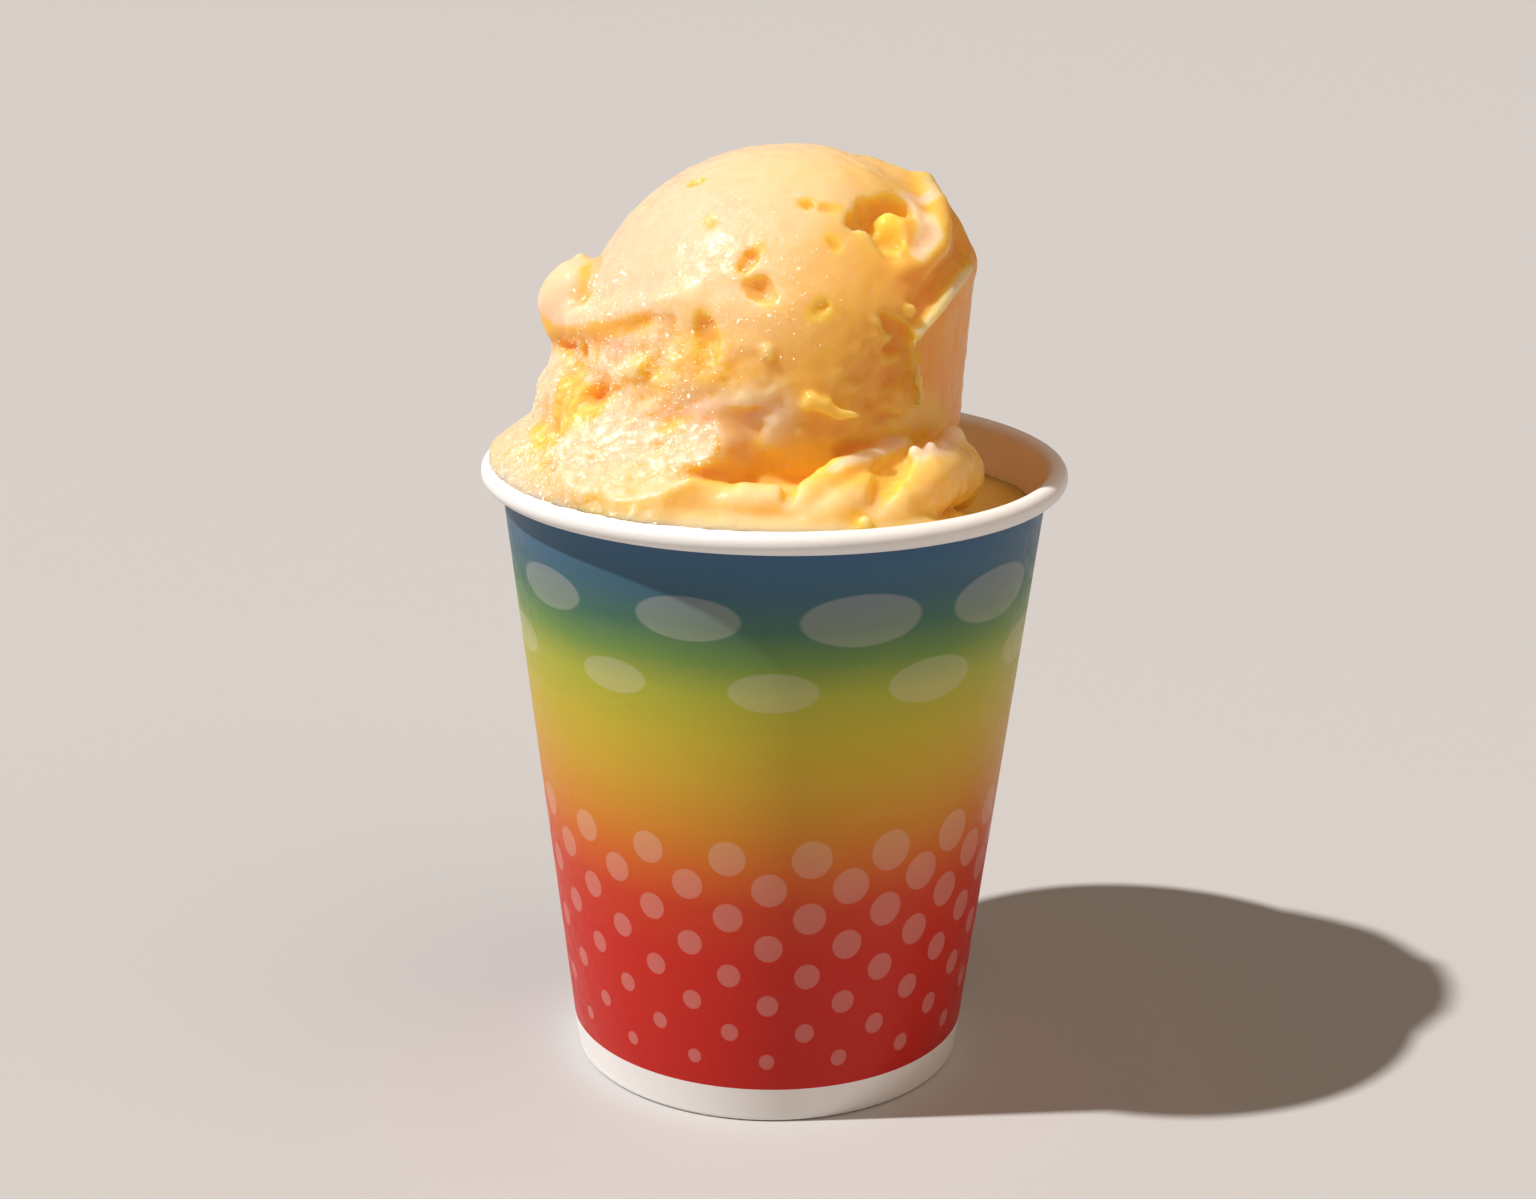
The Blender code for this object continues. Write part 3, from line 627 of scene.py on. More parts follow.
@dataclass
class SurfaceReader:
    """Reads the surface of a distance field from a grid of cubes, one point a cube."""

    body: Callable[[np.ndarray], Body]
    low: Point
    high: Point
    cell: float
    coarse: int = 4
    band: float = 2.6
    slope_step: float = 0.15
    settle_rounds: int = 2

    def grid_values(self) -> np.ndarray:
        """Read the field on the grid.

        Returns:
            Field values at the grid's points, exact near the surface and rough elsewhere.
        """
        span = self.cell * self.coarse
        blocks = np.ceil((np.array(self.high) - np.array(self.low)) / span).astype(int)
        rough_axes = [self.low[a] + span * np.arange(blocks[a] + 1) for a in range(3)]
        rough = self.body(np.stack(np.meshgrid(*rough_axes, indexing="ij"), axis=-1).reshape(-1, 3))
        rough = rough.reshape(blocks + 1)
        corners = [rough[i:i + blocks[0], j:j + blocks[1], k:k + blocks[2]]
                   for i, j, k in itertools.product((0, 1), repeat=3)]
        near = np.min(np.abs(corners), axis=0) < self.band
        values = corners[0]
        for axis in range(3):
            values = np.repeat(values, self.coarse, axis=axis)
            near = np.repeat(near, self.coarse, axis=axis)
        values = np.pad(values, ((0, 1),) * 3, mode="edge")
        near = np.pad(near, ((0, 1),) * 3, mode="edge")
        for axis in range(3):
            near = near | np.roll(near, 1, axis=axis)
        index = np.argwhere(near)
        values[near] = self.body(np.array(self.low) + self.cell * index)
        return values

    def surface(self) -> tuple[np.ndarray, np.ndarray]:
        """Read the surface.

        Returns:
            Its points and its outward quads.
        """
        values = self.grid_values()
        inside = values < 0.0
        cells = np.array(values.shape) - 1
        offsets = list(itertools.product((0, 1), repeat=3))
        count = sum(inside[i:i + cells[0], j:j + cells[1], k:k + cells[2]].astype(np.int8)
                    for i, j, k in offsets)
        index = np.argwhere((count > 0) & (count < len(offsets)))
        number = np.full(cells, -1, dtype=np.int64)
        number[tuple(index.T)] = np.arange(len(index))
        total = np.zeros((len(index), 3))
        crossings = np.zeros(len(index))
        for first, second in itertools.combinations(offsets, 2):
            if sum(abs(a - b) for a, b in zip(first, second)) != 1:
                continue
            value_a = values[tuple((index + first).T)]
            value_b = values[tuple((index + second).T)]
            crosses = (value_a < 0.0) != (value_b < 0.0)
            share = np.where(crosses, value_a / np.where(crosses, value_a - value_b, 1.0), 0.0)
            place = np.array(first) + share[:, None] * (np.array(second) - np.array(first))
            total += np.where(crosses[:, None], place, 0.0)
            crossings += crosses
        points = np.array(self.low) + self.cell * (index + total / crossings[:, None])
        return self.largest(self.settle(points), self.quads(inside, number))

    def largest(self, points: np.ndarray, quads: np.ndarray) -> tuple[np.ndarray, np.ndarray]:
        """The surface's largest connected piece, without loose scraps or sealed bubbles.

        Args:
            points: points of the whole surface.
            quads: its quads, as point numbers.

        Returns:
            The piece's points and quads.
        """
        label = np.arange(len(points))
        while True:
            lowest = label[quads].min(axis=1)
            before = label.copy()
            for corner in range(4):
                np.minimum.at(label, quads[:, corner], lowest)
            label = label[label]
            if np.array_equal(before, label):
                break
        kept = label == np.bincount(label).argmax()
        number = np.cumsum(kept) - 1
        return points[kept], number[quads[kept[quads[:, 0]]]]

    def quads(self, inside: np.ndarray, number: np.ndarray) -> np.ndarray:
        """One quad round each grid edge that leaves or enters the body.

        Args:
            inside: whether each grid point is in the body.
            number: number of the surface point in each cell.

        Returns:
            The quads as point numbers, facing outwards.
        """
        found = []
        for axis in range(3):
            u, v = (axis + 1) % 3, (axis + 2) % 3
            lower = np.take(inside, range(inside.shape[axis] - 1), axis=axis)
            upper = np.take(inside, range(1, inside.shape[axis]), axis=axis)
            edges = np.argwhere(lower != upper)
            edges = edges[(edges[:, u] > 0) & (edges[:, v] > 0)]
            edges = edges[(edges[:, u] < inside.shape[u] - 1) & (edges[:, v] < inside.shape[v] - 1)]
            leaves = lower[tuple(edges.T)]
            ring = []
            for step_u, step_v in ((-1, -1), (0, -1), (0, 0), (-1, 0)):
                cell = edges.copy()
                cell[:, u] += step_u
                cell[:, v] += step_v
                ring.append(number[tuple(cell.T)])
            ring = np.stack(ring, axis=1)
            found.append(np.where(leaves[:, None], ring, ring[:, ::-1]))
        return np.concatenate(found)

    def slope(self, points: np.ndarray) -> tuple[np.ndarray, np.ndarray]:
        """Field values and their slopes at some points.

        Args:
            points: places in millimetres, one per row.

        Returns:
            The values, and one slope per point.
        """
        here, step = self.body(points), self.slope_step
        moved = [(self.body(points + step * np.eye(3)[a]) - here) / step for a in range(3)]
        return here, np.stack(moved, axis=1)

    def outward(self, points: np.ndarray) -> np.ndarray:
        """Unit directions out of the body at some points."""
        _, slope = self.slope(points)
        return slope / np.maximum(np.linalg.norm(slope, axis=1), TINY)[:, None]

    def settle(self, points: np.ndarray) -> np.ndarray:
        """Points moved onto the surface along the field's slope.

        Args:
            points: points near the surface.

        Returns:
            The moved points.
        """
        for _ in range(self.settle_rounds):
            here, slope = self.slope(points)
            move = here / np.maximum(np.sum(slope * slope, axis=1), 0.1)
            points = points - np.clip(move, -self.cell / 2, self.cell / 2)[:, None] * slope
        return points


class Wire:
    """Output of a node that takes part in sums and products."""

    def __init__(self, graph: NodeGraph, socket: bpy.types.NodeSocket) -> None:
        """Keep the socket and the graph that it belongs to."""
        self.graph = graph
        self.socket = socket

    def beside(self, output: str | int) -> Wire:
        """Another output of the same node."""
        return Wire(self.graph, self.socket.node.outputs[output])

    def __add__(self, other: Wire | float) -> Wire:
        """This plus the other."""
        return self.graph.maths("ADD", self, other)

    __radd__ = __add__

    def __mul__(self, other: Wire | float) -> Wire:
        """This times the other."""
        return self.graph.maths("MULTIPLY", self, other)

    __rmul__ = __mul__

    def __sub__(self, other: Wire | float) -> Wire:
        """This less the other."""
        return self.graph.maths("SUBTRACT", self, other)

    def __rsub__(self, other: float) -> Wire:
        """The other less this."""
        return self.graph.maths("SUBTRACT", other, self)

    def __truediv__(self, other: Wire | float) -> Wire:
        """This over the other."""
        return self.graph.maths("DIVIDE", self, other)

    def __pow__(self, other: float) -> Wire:
        """This to a power."""
        return self.graph.maths("POWER", self, other)


class NodeGraph:
    """Node tree whose nodes are added by expressions."""

    def __init__(self, tree: bpy.types.NodeTree) -> None:
        """Keep the tree."""
        self.tree = tree

    def node(self, kind: str, settings: Mapping[str, object] | None = None,
             sockets: Mapping[str | int, object] | None = None, output: str | int = 0) -> Wire:
        """Add a node.

        Args:
            kind: the node's type.
            settings: its properties, set first; stops fills a colour ramp.
            sockets: values or wires of its inputs, by name or number.
            output: which output to return.

        Returns:
            A wire from the node's output.
        """
        made = self.tree.nodes.new(kind)
        for key, value in (settings or {}).items():
            if key == "stops":
                self.fill_ramp(made.color_ramp, value)
            else:
                setattr(made, key, value)
        for key, value in (sockets or {}).items():
            self.feed(made.inputs[key], value)
        return Wire(self, made.outputs[output])

    def fill_ramp(self, ramp: bpy.types.ColorRamp, stops: Sequence[tuple[float, Colour]]) -> None:
        """Give a colour ramp its stops.

        Args:
            ramp: the ramp.
            stops: place from 0 to 1 and colour of each stop.
        """
        while len(ramp.elements) < len(stops):
            ramp.elements.new(0.5)
        for element, (place, colour) in zip(ramp.elements, stops):
            element.position = place
            element.color = (*colour, 1.0)

    def feed(self, socket: bpy.types.NodeSocket, value: object) -> None:
        """Link a wire to an input, or set the input's value.

        Args:
            socket: the input.
            value: a wire, or what the input holds.
        """
        if isinstance(value, Wire):
            self.tree.links.new(value.socket, socket)
        elif isinstance(value, tuple) and len(value) == 3 and socket.type == "RGBA":
            socket.default_value = (*value, 1.0)
        else:
            socket.default_value = value

    def maths(self, operation: str, *values: Wire | float) -> Wire:
        """Math node on one to three values."""
        return self.node("ShaderNodeMath", {"operation": operation}, dict(enumerate(values)))


class ShaderGraph(NodeGraph):
    """Material whose nodes are added by expressions."""

    def __init__(self, name: str) -> None:
        """Make an empty material.

        Args:
            name: the material's name.
        """
        self.material = bpy.data.materials.new(name)
        self.material.use_nodes = True
        super().__init__(self.material.node_tree)
        self.tree.nodes.clear()

    def mix(self, share: Wire | float, first: Wire | Colour, second: Wire | Colour) -> Wire:
        """Colour between two colours."""
        return self.node("ShaderNodeMix", {"data_type": "RGBA"}, {0: share, 6: first, 7: second}, 2)

    def ramp(self, share: Wire, stops: Sequence[tuple[float, Colour]]) -> Wire:
        """Colour read from a ramp."""
        return self.node("ShaderNodeValToRGB", {"stops": stops}, {0: share})

    def between(self, value: Wire, low: float, high: float, out_low: float = 0.0,
                out_high: float = 1.0) -> Wire:
        """Value mapped smoothly from one range to another."""
        sockets = {"Value": value, "From Min": low, "From Max": high, "To Min": out_low, "To Max": out_high}
        return self.node("ShaderNodeMapRange", {"interpolation_type": "SMOOTHSTEP"}, sockets)

    def attribute(self, name: str) -> Wire:
        """Number stored on the mesh."""
        return self.node("ShaderNodeAttribute", {"attribute_name": name}, output="Fac")

    def noise(self, scale: float, detail: float = 2.0, vector: Wire | None = None) -> Wire:
        """Noise on object coordinates, in cycles per metre.

        Args:
            scale: cycles per metre.
            detail: how many finer layers it has.
            vector: other coordinates to read.

        Returns:
            A value around 0.5.
        """
        sockets: dict[str, object] = {"Scale": scale, "Detail": detail}
        sockets["Vector"] = vector or self.node("ShaderNodeTexCoord", output="Object")
        return self.node("ShaderNodeTexNoise", None, sockets)

    def bump(self, height: Wire, distance: float, strength: float = 1.0, under: Wire | None = None) -> Wire:
        """Normal tilted by a relief.

        Args:
            height: the relief, from 0 to 1.
            distance: how far it stands out, in metres.
            strength: share of its effect.
            under: a normal that it is laid over.

        Returns:
            The tilted normal.
        """
        sockets: dict[str, object] = {"Height": height, "Distance": distance, "Strength": strength}
        if under is not None:
            sockets["Normal"] = under
        return self.node("ShaderNodeBump", None, sockets)

    def finish(self, sockets: Mapping[str, object]) -> bpy.types.Material:
        """End in a Principled shader and return the material.

        Args:
            sockets: values or wires of its inputs.

        Returns:
            The finished material.
        """
        shader = self.node("ShaderNodeBsdfPrincipled", None, sockets)
        end = self.tree.nodes.new("ShaderNodeOutputMaterial")
        self.feed(end.inputs["Surface"], shader)
        return self.material


@dataclass(frozen=True)
class SorbetFinish:
    """Frozen fruit sorbet: pale and frosted where it stands out, deep orange in its hollows; the pale lit
    side and crests and the orange shaded side and hollows are painted light and shade.
    """

    # The first four colours run from the side painted as lit to the side painted as shaded; the next three
    # are the painted shade of hollows, creases and pits, lit to shaded, and the amber also fills the gaps
    # between ice cells
    frost_and_lit_tone: Colour = srgb(252, 203, 168)
    creamy: Colour = srgb(253, 208, 152)
    body: Colour = srgb(255, 190, 88)
    shaded_side: Colour = srgb(254, 166, 76)
    amber: Colour = srgb(255, 190, 90)
    deep: Colour = srgb(255, 202, 80)
    shaded_hollow: Colour = srgb(255, 184, 68)
    ice: Colour = srgb(255, 244, 224)
    roughness: float = 0.42
    scatter: float = 0.9
    scatter_reach: float = 0.009
    scatter_colour: Colour = (1.0, 0.85, 0.5)
    relief_depth: float = 0.0003
    ice_cells: float = 1500.0

    def build(self) -> bpy.types.Material:
        """Material for the sorbet mesh, which carries three attributes: the painted shade of its hollows, its
        loose ice, and the painted shade of the side away from the key light.

        Returns:
            The material.
        """
        g = ShaderGraph("sorbet")
        icy = g.attribute("icy")
        cloud = g.noise(110.0, 3.0) - 0.5
        fine = g.noise(900.0, 2.0)
        # Painted shade of the side away from the key light, lowered where there is loose ice
        melt = g.attribute("melt") + cloud * 0.3 - icy * 0.3
        outer = g.ramp(melt, ((0.0, self.frost_and_lit_tone), (0.32, self.creamy), (0.62, self.body),
                              (1.0, self.shaded_side)))
        inner = g.ramp(melt, ((0.0, self.amber), (0.6, self.deep), (1.0, self.shaded_hollow)))
        # Painted shade: hollows, creases and pits turn a deeper orange
        colour = g.mix(g.between(g.attribute("hollow") + cloud * 0.25, 0.05, 0.75), outer, inner)
        place = g.node("ShaderNodeTexCoord", output="Object")
        cells = {"Vector": place, "Scale": self.ice_cells}
        grain = g.node("ShaderNodeTexVoronoi", {"feature": "F1"}, cells)
        shade = g.node("ShaderNodeSeparateColor", None, {0: grain.beside("Color")})
        colour = g.mix(g.between(grain, 0.35, 0.75) * icy * 0.55, colour, self.amber)
        # Pale ice flecks: the ice's own colour, partly painted glints
        colour = g.mix(g.between(shade, 0.55, 0.8) * icy * 0.6, colour, self.ice)
        # Frost flecks, more of them on the side painted as lit
        frost = g.between(fine + icy * 0.12, 0.60, 0.72)
        colour = g.mix(frost * g.between(melt, 0.2, 0.9, 0.45, 0.1), colour, self.frost_and_lit_tone)
        relief = g.bump(g.noise(700.0, 2.0), self.relief_depth, icy * 0.4 + 0.15)
        relief = g.bump(1.0 - grain, self.relief_depth, icy * 0.5 + 0.1, relief)
        rough = g.between(fine, 0.3, 0.7, self.roughness - 0.12, self.roughness + 0.14)
        return g.finish({
            "Base Color": colour, "Roughness": rough, "Normal": relief, "IOR": 1.33,
            "Subsurface Weight": self.scatter, "Subsurface Radius": self.scatter_colour,
            "Subsurface Scale": self.scatter_reach, "Coat Weight": icy * 0.2 + 0.05,
            "Coat Roughness": 0.25,
        })


@dataclass(frozen=True)
class IceFinish:
    """Clear ice grains that glint on the sorbet, with a painted glint: a faint emission makes them shine
    though they are no lamp.
    """

    colour: Colour = srgb(255, 247, 228)
    syrup: Colour = srgb(255, 226, 170)
    # Strength of the painted glint, an emission
    painted_glint: float = 0.3

    def build(self) -> bpy.types.Material:
        """Material for the grains.

        Returns:
            The material.
        """
        g = ShaderGraph("ice_grains")
        tone = g.noise(300.0, 1.0)
        # Painted glint: the grains give off a little light of their own
        return g.finish({
            "Base Color": g.mix(g.between(tone, 0.35, 0.65), self.colour, self.syrup),
            "Roughness": g.between(tone, 0.3, 0.7, 0.12, 0.3), "IOR": 1.5,
            "Emission Color": self.colour, "Emission Strength": self.painted_glint,
            "Coat Weight": 0.5, "Coat Roughness": 0.08,
        })


@dataclass(frozen=True)
class PaperFinish:
    """White coated board with a faint fibre relief."""

    colour: Colour = srgb(246, 243, 240)
    mottle: Colour = srgb(240, 235, 229)
    roughness: float = 0.5

    def build(self) -> bpy.types.Material:
        """Material for plain paper.

        Returns:
            The material.
        """
        g = ShaderGraph("plain_paper")
        fibre = g.noise(1400.0, 3.0)
        return g.finish({
            "Base Color": g.mix(g.between(g.noise(60.0), 0.3, 0.7) * 0.5, self.colour, self.mottle),
            "Roughness": g.between(fibre, 0.3, 0.7, self.roughness - 0.06, self.roughness + 0.08),
            "Normal": g.bump(fibre, 0.00006, 0.5), "Subsurface Weight": 0.1,
            "Subsurface Radius": (1.0, 0.9, 0.8), "Subsurface Scale": 0.0005,
        })


@dataclass(frozen=True)
class OvalRow:
    """One row of ovals round the cup: its height on the print, count, half sizes and shift."""

    height: float
    count: int
    half_length: float
    half_width: float
    shift: float


@dataclass(frozen=True)
class PrintFinish:
    """Printed paper: a fade from slate blue to red, with pale ovals above and below a bare band."""

    big_rows: int = 2
    small_rows: int = 8
    band_height: float = 88.0
    girth: float = 226.0
    opacity: float = 0.26

    def fade(self) -> tuple[tuple[float, Colour], ...]:
        """Stops of the fade from the bottom of the print to its top.

        Returns:
            Place and colour of each stop.
        """
        return (
            (0.00, srgb(197, 36, 28)), (0.24, srgb(205, 44, 30)), (0.345, srgb(208, 66, 35)),
            (0.41, srgb(216, 103, 39)), (0.49, srgb(216, 142, 45)), (0.58, srgb(210, 169, 52)),
            (0.655, srgb(199, 179, 54)), (0.73, srgb(174, 177, 61)), (0.79, srgb(114, 146, 73)),
            (0.845, srgb(73, 114, 93)), (0.90, srgb(66, 103, 121)), (0.955, srgb(68, 106, 138)),
            (1.00, srgb(66, 101, 134)),
        )

    def rows(self) -> list[OvalRow]:
        """Rows of the print, wide level ovals at the top and ever smaller dots at the foot.

        Returns:
            The rows from the top down.
        """
        big = [OvalRow(0.86 - 0.12 * n, 10, 7.6 - 1.6 * n, 3.6 - 0.6 * n, 0.5 * n)
               for n in range(self.big_rows)]
        radii = [2.9 - 1.6 * (n / (self.small_rows - 1)) for n in range(self.small_rows)]
        small = [OvalRow(0.44 - 0.055 * n, 18, radius, radius, 0.5 * (n % 2))
                 for n, radius in enumerate(radii)]
        return big + small

    def oval_row(self, g: ShaderGraph, u: Wire, v: Wire, row: OvalRow) -> Wire:
        """Mask of one row, whose ovals swell and shrink a little as they go round.

        Args:
            g: the print's nodes.
            u, v: place on the print, each from 0 to 1.
            row: the row's sizes.

        Returns:
            A value that is 1 on the ovals.
        """
        swell = g.maths("SINE", (u + row.shift) * (4.0 * math.pi)) * 0.14 + 1.0
        across = (g.maths("FRACT", u * row.count + row.shift) - 0.5) * (self.girth / row.count)
        along = across / (swell * row.half_length)
        aside = (v - row.height) * self.band_height / (swell * row.half_width)
        return g.between(g.maths("SQRT", along * along + aside * aside), 1.05, 0.95)

    def build(self) -> bpy.types.Material:
        """Material for the printed face, which carries a UV map named print.

        Returns:
            The material.
        """
        g = ShaderGraph("printed_paper")
        u = g.node("ShaderNodeSeparateXYZ", None, {0: g.node("ShaderNodeUVMap", {"uv_map": "print"})})
        v = u.beside(1)
        soft = (g.noise(90.0, 2.0) - 0.5) * 0.02
        grain = g.noise(3800.0, 1.0)
        ground = g.ramp(v + soft + (grain - 0.5) * 0.02, self.fade())
        ovals, *others = [self.oval_row(g, u, v, row) for row in self.rows()]
        for mask in others:
            ovals = g.maths("MAXIMUM", ovals, mask)
        pale = g.mix(0.7, ground, srgb(238, 226, 214))
        colour = g.mix(ovals * self.opacity, ground, pale)
        colour = g.mix(g.between(grain, 0.5, 0.8) * 0.015, colour, srgb(226, 220, 214))
        return g.finish({
            "Base Color": colour, "Roughness": g.between(g.noise(500.0), 0.3, 0.7, 0.34, 0.46),
            "Normal": g.bump(g.noise(1200.0, 3.0), 0.00005, 0.5), "Specular IOR Level": 0.15,
            "Coat Weight": 0.04, "Coat Roughness": 0.3,
        })


def new_piece(name: str, points: np.ndarray, faces: Sequence[Sequence[int]]) -> bpy.types.Object:
    """Scene object of a smooth mesh.

    Args:
        name: its name.
        points: its points in millimetres.
        faces: its faces as lists of point numbers.

    Returns:
        The object, linked to the scene, with its mesh in metres.
    """
    mesh = bpy.data.meshes.new(name)
    mesh.from_pydata((points * MM).tolist(), [], np.asarray(faces).tolist())
    mesh.shade_smooth()
    made = bpy.data.objects.new(name, mesh)
    bpy.context.scene.collection.objects.link(made)
    return made


@dataclass
class Sorbet:
    """The sorbet's visible piece: the welded scoop and fill, read finely above the cup's middle."""

    cup: CupShape
    cell: float = 0.56
    quick_cell: float = 1.0
    cut_height: float = 80.0
    grid_margin: float = 2.0
    grid_top: float = 144.5
    edge_blend: float = 0.15
    slab: float = 3.0
    inset: float = 0.05

    @property
    def form(self) -> SorbetForm:
        """The sorbet's shape in this cup."""
        return SorbetForm(self.cup)

    def build(self) -> bpy.types.Object:
        """Sculpt the sorbet and put on its finish.

        Returns:
            The finished piece, riding on the frame.
        """
        reach = self.cup.rim_radius
        reader = SurfaceReader(self.body, (-reach, -reach, self.cut_height - self.grid_margin),
                               (reach, reach, self.grid_top), self.cell)
        points, quads = reader.surface()
        outward = reader.outward(points)
        # Attributes for the finish: the painted shade of the hollows, the loose ice, and the painted shade of
        # the side away from the key light
        looks = {"hollow": self.hollow_of(reader, points, outward), "icy": self.icy_of(points),
                 "melt": self.painted_shade_of(points)}
        piece = new_piece("sorbet", self.reach_down(self.grained(points, outward)), quads)
        for name, values in looks.items():
            layer = piece.data.attributes.new(name, "FLOAT", "POINT")
            layer.data.foreach_set("value", values.astype(np.float32))
        piece.data.materials.append(SorbetFinish().build())
        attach(piece, "root")
        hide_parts("sorbet_fill", "sorbet_scoop")
        return piece

    def body(self, points: np.ndarray) -> Body:
        """Sorbet in the cup's room, above the slab's lower face."""
        shape = -smooth_union(-self.form.whole(points), -self.cup.room(points), self.edge_blend)
        return np.maximum(shape, self.cut_height - points[:, 2])

    def hollow_of(self, reader: SurfaceReader, points: np.ndarray, outward: np.ndarray) -> np.ndarray:
        """Painted shade of the hollows: how far each point is shut in by the sorbet around it, or lies under
        the lip or in a crease or pit, lowered on the crests that are painted as lit.

        Args:
            reader: the reader of the sorbet's surface.
            points: points of the surface.
            outward: directions out of it.

        Returns:
            One value per point, from 0 to 1.
        """
        shut = np.zeros(len(points))
        for reach, share in ((1.2, 0.40), (3.0, 0.35), (7.0, 0.30), (13.0, 0.30)):
            free = reader.body(points + outward * reach)
            shut += share * np.clip((reach - free) / reach, 0.0, 1.0)
        return np.clip(np.maximum(shut, self.painted_crease_shade_of(points)) * self.painted_highlight_of(points), 0.0, 1.0)

    def painted_highlight_of(self, points: np.ndarray) -> np.ndarray:
        """Painted highlight: a factor that is low on the crests that catch the light, the ear, the flap's
        edge, the fold and the knob, which are painted pale.

        Args:
            points: points of the surface.

        Returns:
            One value per point, 1 away from them.
        """
        ear = self.form.stroke(points, *EAR_CREST) / 1.8 + 0.15
        flap = self.form.stroke(points, *FLAP_CREST)
        fold = roll(points, *FOLD_CREST) / 1.2 + 0.15
        knob = roll(points, *KNOB_CREST) / 1.8 + 0.15
        return np.clip(np.minimum.reduce((ear, flap, fold, knob)) + 0.2, 0.15, 1.0)

    def painted_crease_shade_of(self, points: np.ndarray) -> np.ndarray:
        """Share of painted shade, in an amber colour, under the lip and in the hollows and pits.

        Args:
            points: points of the surface.

        Returns:
            One value per point, from 0 to 0.85.
        """
        pits = [tuple((*s[:3], s[3] * 0.7) for s in pit.stations) for pit in PITS]
        on_ball = [self.form.stroke(points, *stations) for stations in (*CREASE_SHADE_ON_BALL, *pits)]
        low = [roll(points, *stations) for stations in CREASE_SHADE_LOW]
        near = np.minimum.reduce(on_ball + low)
        return 0.85 * np.clip(0.9 - near / 1.6 + 0.35 * lattice_noise(points, 2.5, 53), 0.0, 1.0)

    def icy_of(self, points: np.ndarray) -> np.ndarray:
        """Share of loose ice at each point: high on the slope and the shoulder at the left.

        Args:
            points: points of the surface.

        Returns:
            One value per point, from 0 to 1.
        """
        at = self.form.on_scoop
        icy = patches(points, (
            (at(-60, -20, 4.0), 20.0, 1.0), ((-15.0, -29.0, 105.0), 9.0, 0.8), (at(-45, 8, 0.0), 15.0, 0.6),
            (at(-20, 30, 0.0), 17.0, 0.35), (at(-62, 18, 2.0), 10.0, 0.7),
        ))
        patch = 0.75 + 0.5 * lattice_noise(points, 4.0, 51)
        return np.clip(icy * patch * (1.0 - self.painted_crease_shade_of(points)), 0.0, 1.0)

    def painted_shade_of(self, points: np.ndarray) -> np.ndarray:
        """Share of painted shade: high on the pressed flank and on the side away from the key light, low in
        front of it, on the tongue and the fold that face the light, and on the crests.

        Args:
            points: points of the surface.

        Returns:
            One value per point.
        """
        x, y, z = (points - np.array(self.form.centre)).T / self.form.radius
        # Painted shade that grows towards the right and downwards, away from the key light
        lean = 0.80 * x - 0.10 * y - 0.42 * z + 0.10 * lattice_noise(points, 9.0, 52)
        # A patch at the left that lies in shade gets more painted shade
        shaded_patch_place = np.array(self.form.on_scoop(-30, 3))
        torn = np.clip(1.6 - np.linalg.norm(points - shaded_patch_place, axis=1) / 9.0, 0.0, 1.0)
        share = np.clip((lean + 0.65) / 1.25 + 0.35 * torn, 0.0, 1.0)
        # On the fill next to the rim the painted shade is low and grows towards the right
        above = np.clip((points[:, 2] - 99.0) / 5.0, 0.0, 1.0)
        middle = 0.12 * np.clip((points[:, 0] + 22.0) / 10.0, 0.0, 1.0)
        low = 0.16 + middle + 0.28 * np.clip(points[:, 0] / 22.0, 0.0, 1.0)
        # The tongue and the fold face the light and get less painted shade
        share = share * np.clip(roll(points, *TONGUE_SPINE) / 5.0 + 0.2, 0.2, 1.0)
        lit_fold_place = np.array((23.0, -22.0, 100.0))
        fold = np.clip(3.0 - np.linalg.norm(points - lit_fold_place, axis=1) / 4.0, 0.0, 1.0)
        return (low + (share - low) * above * (1.0 - fold)) * self.painted_highlight_of(points)

    def grained(self, points: np.ndarray, outward: np.ndarray) -> np.ndarray:
        """Points moved in and out by the sorbet's grain."""
        grain = 0.08 * lattice_noise(points, 1.6, 41)
        return points + outward * (grain - self.inset)[:, None]

    def reach_down(self, points: np.ndarray) -> np.ndarray:
        """The slab at the bottom drawn down to the cup's base.

        Args:
            points: points of the surface.

        Returns:
            The points in their new places.
        """
        z = points[:, 2]
        top = self.cut_height + self.slab
        floor = self.cup.base_top + self.cup.fit_gap
        share = np.clip((top - z) / self.slab, 0.0, 1.0)
        lower = np.where(z < top, top - share * (top - floor), z)
        ratio = self.cup.inner_radius(lower) / self.cup.inner_radius(z)
        return np.stack((points[:, 0] * ratio, points[:, 1] * ratio, lower), axis=1)


class GrainSize(Enum):
    """Sizes of ice grain, as a radius in metres."""

    FINE = 0.00014
    COARSE = 0.00032


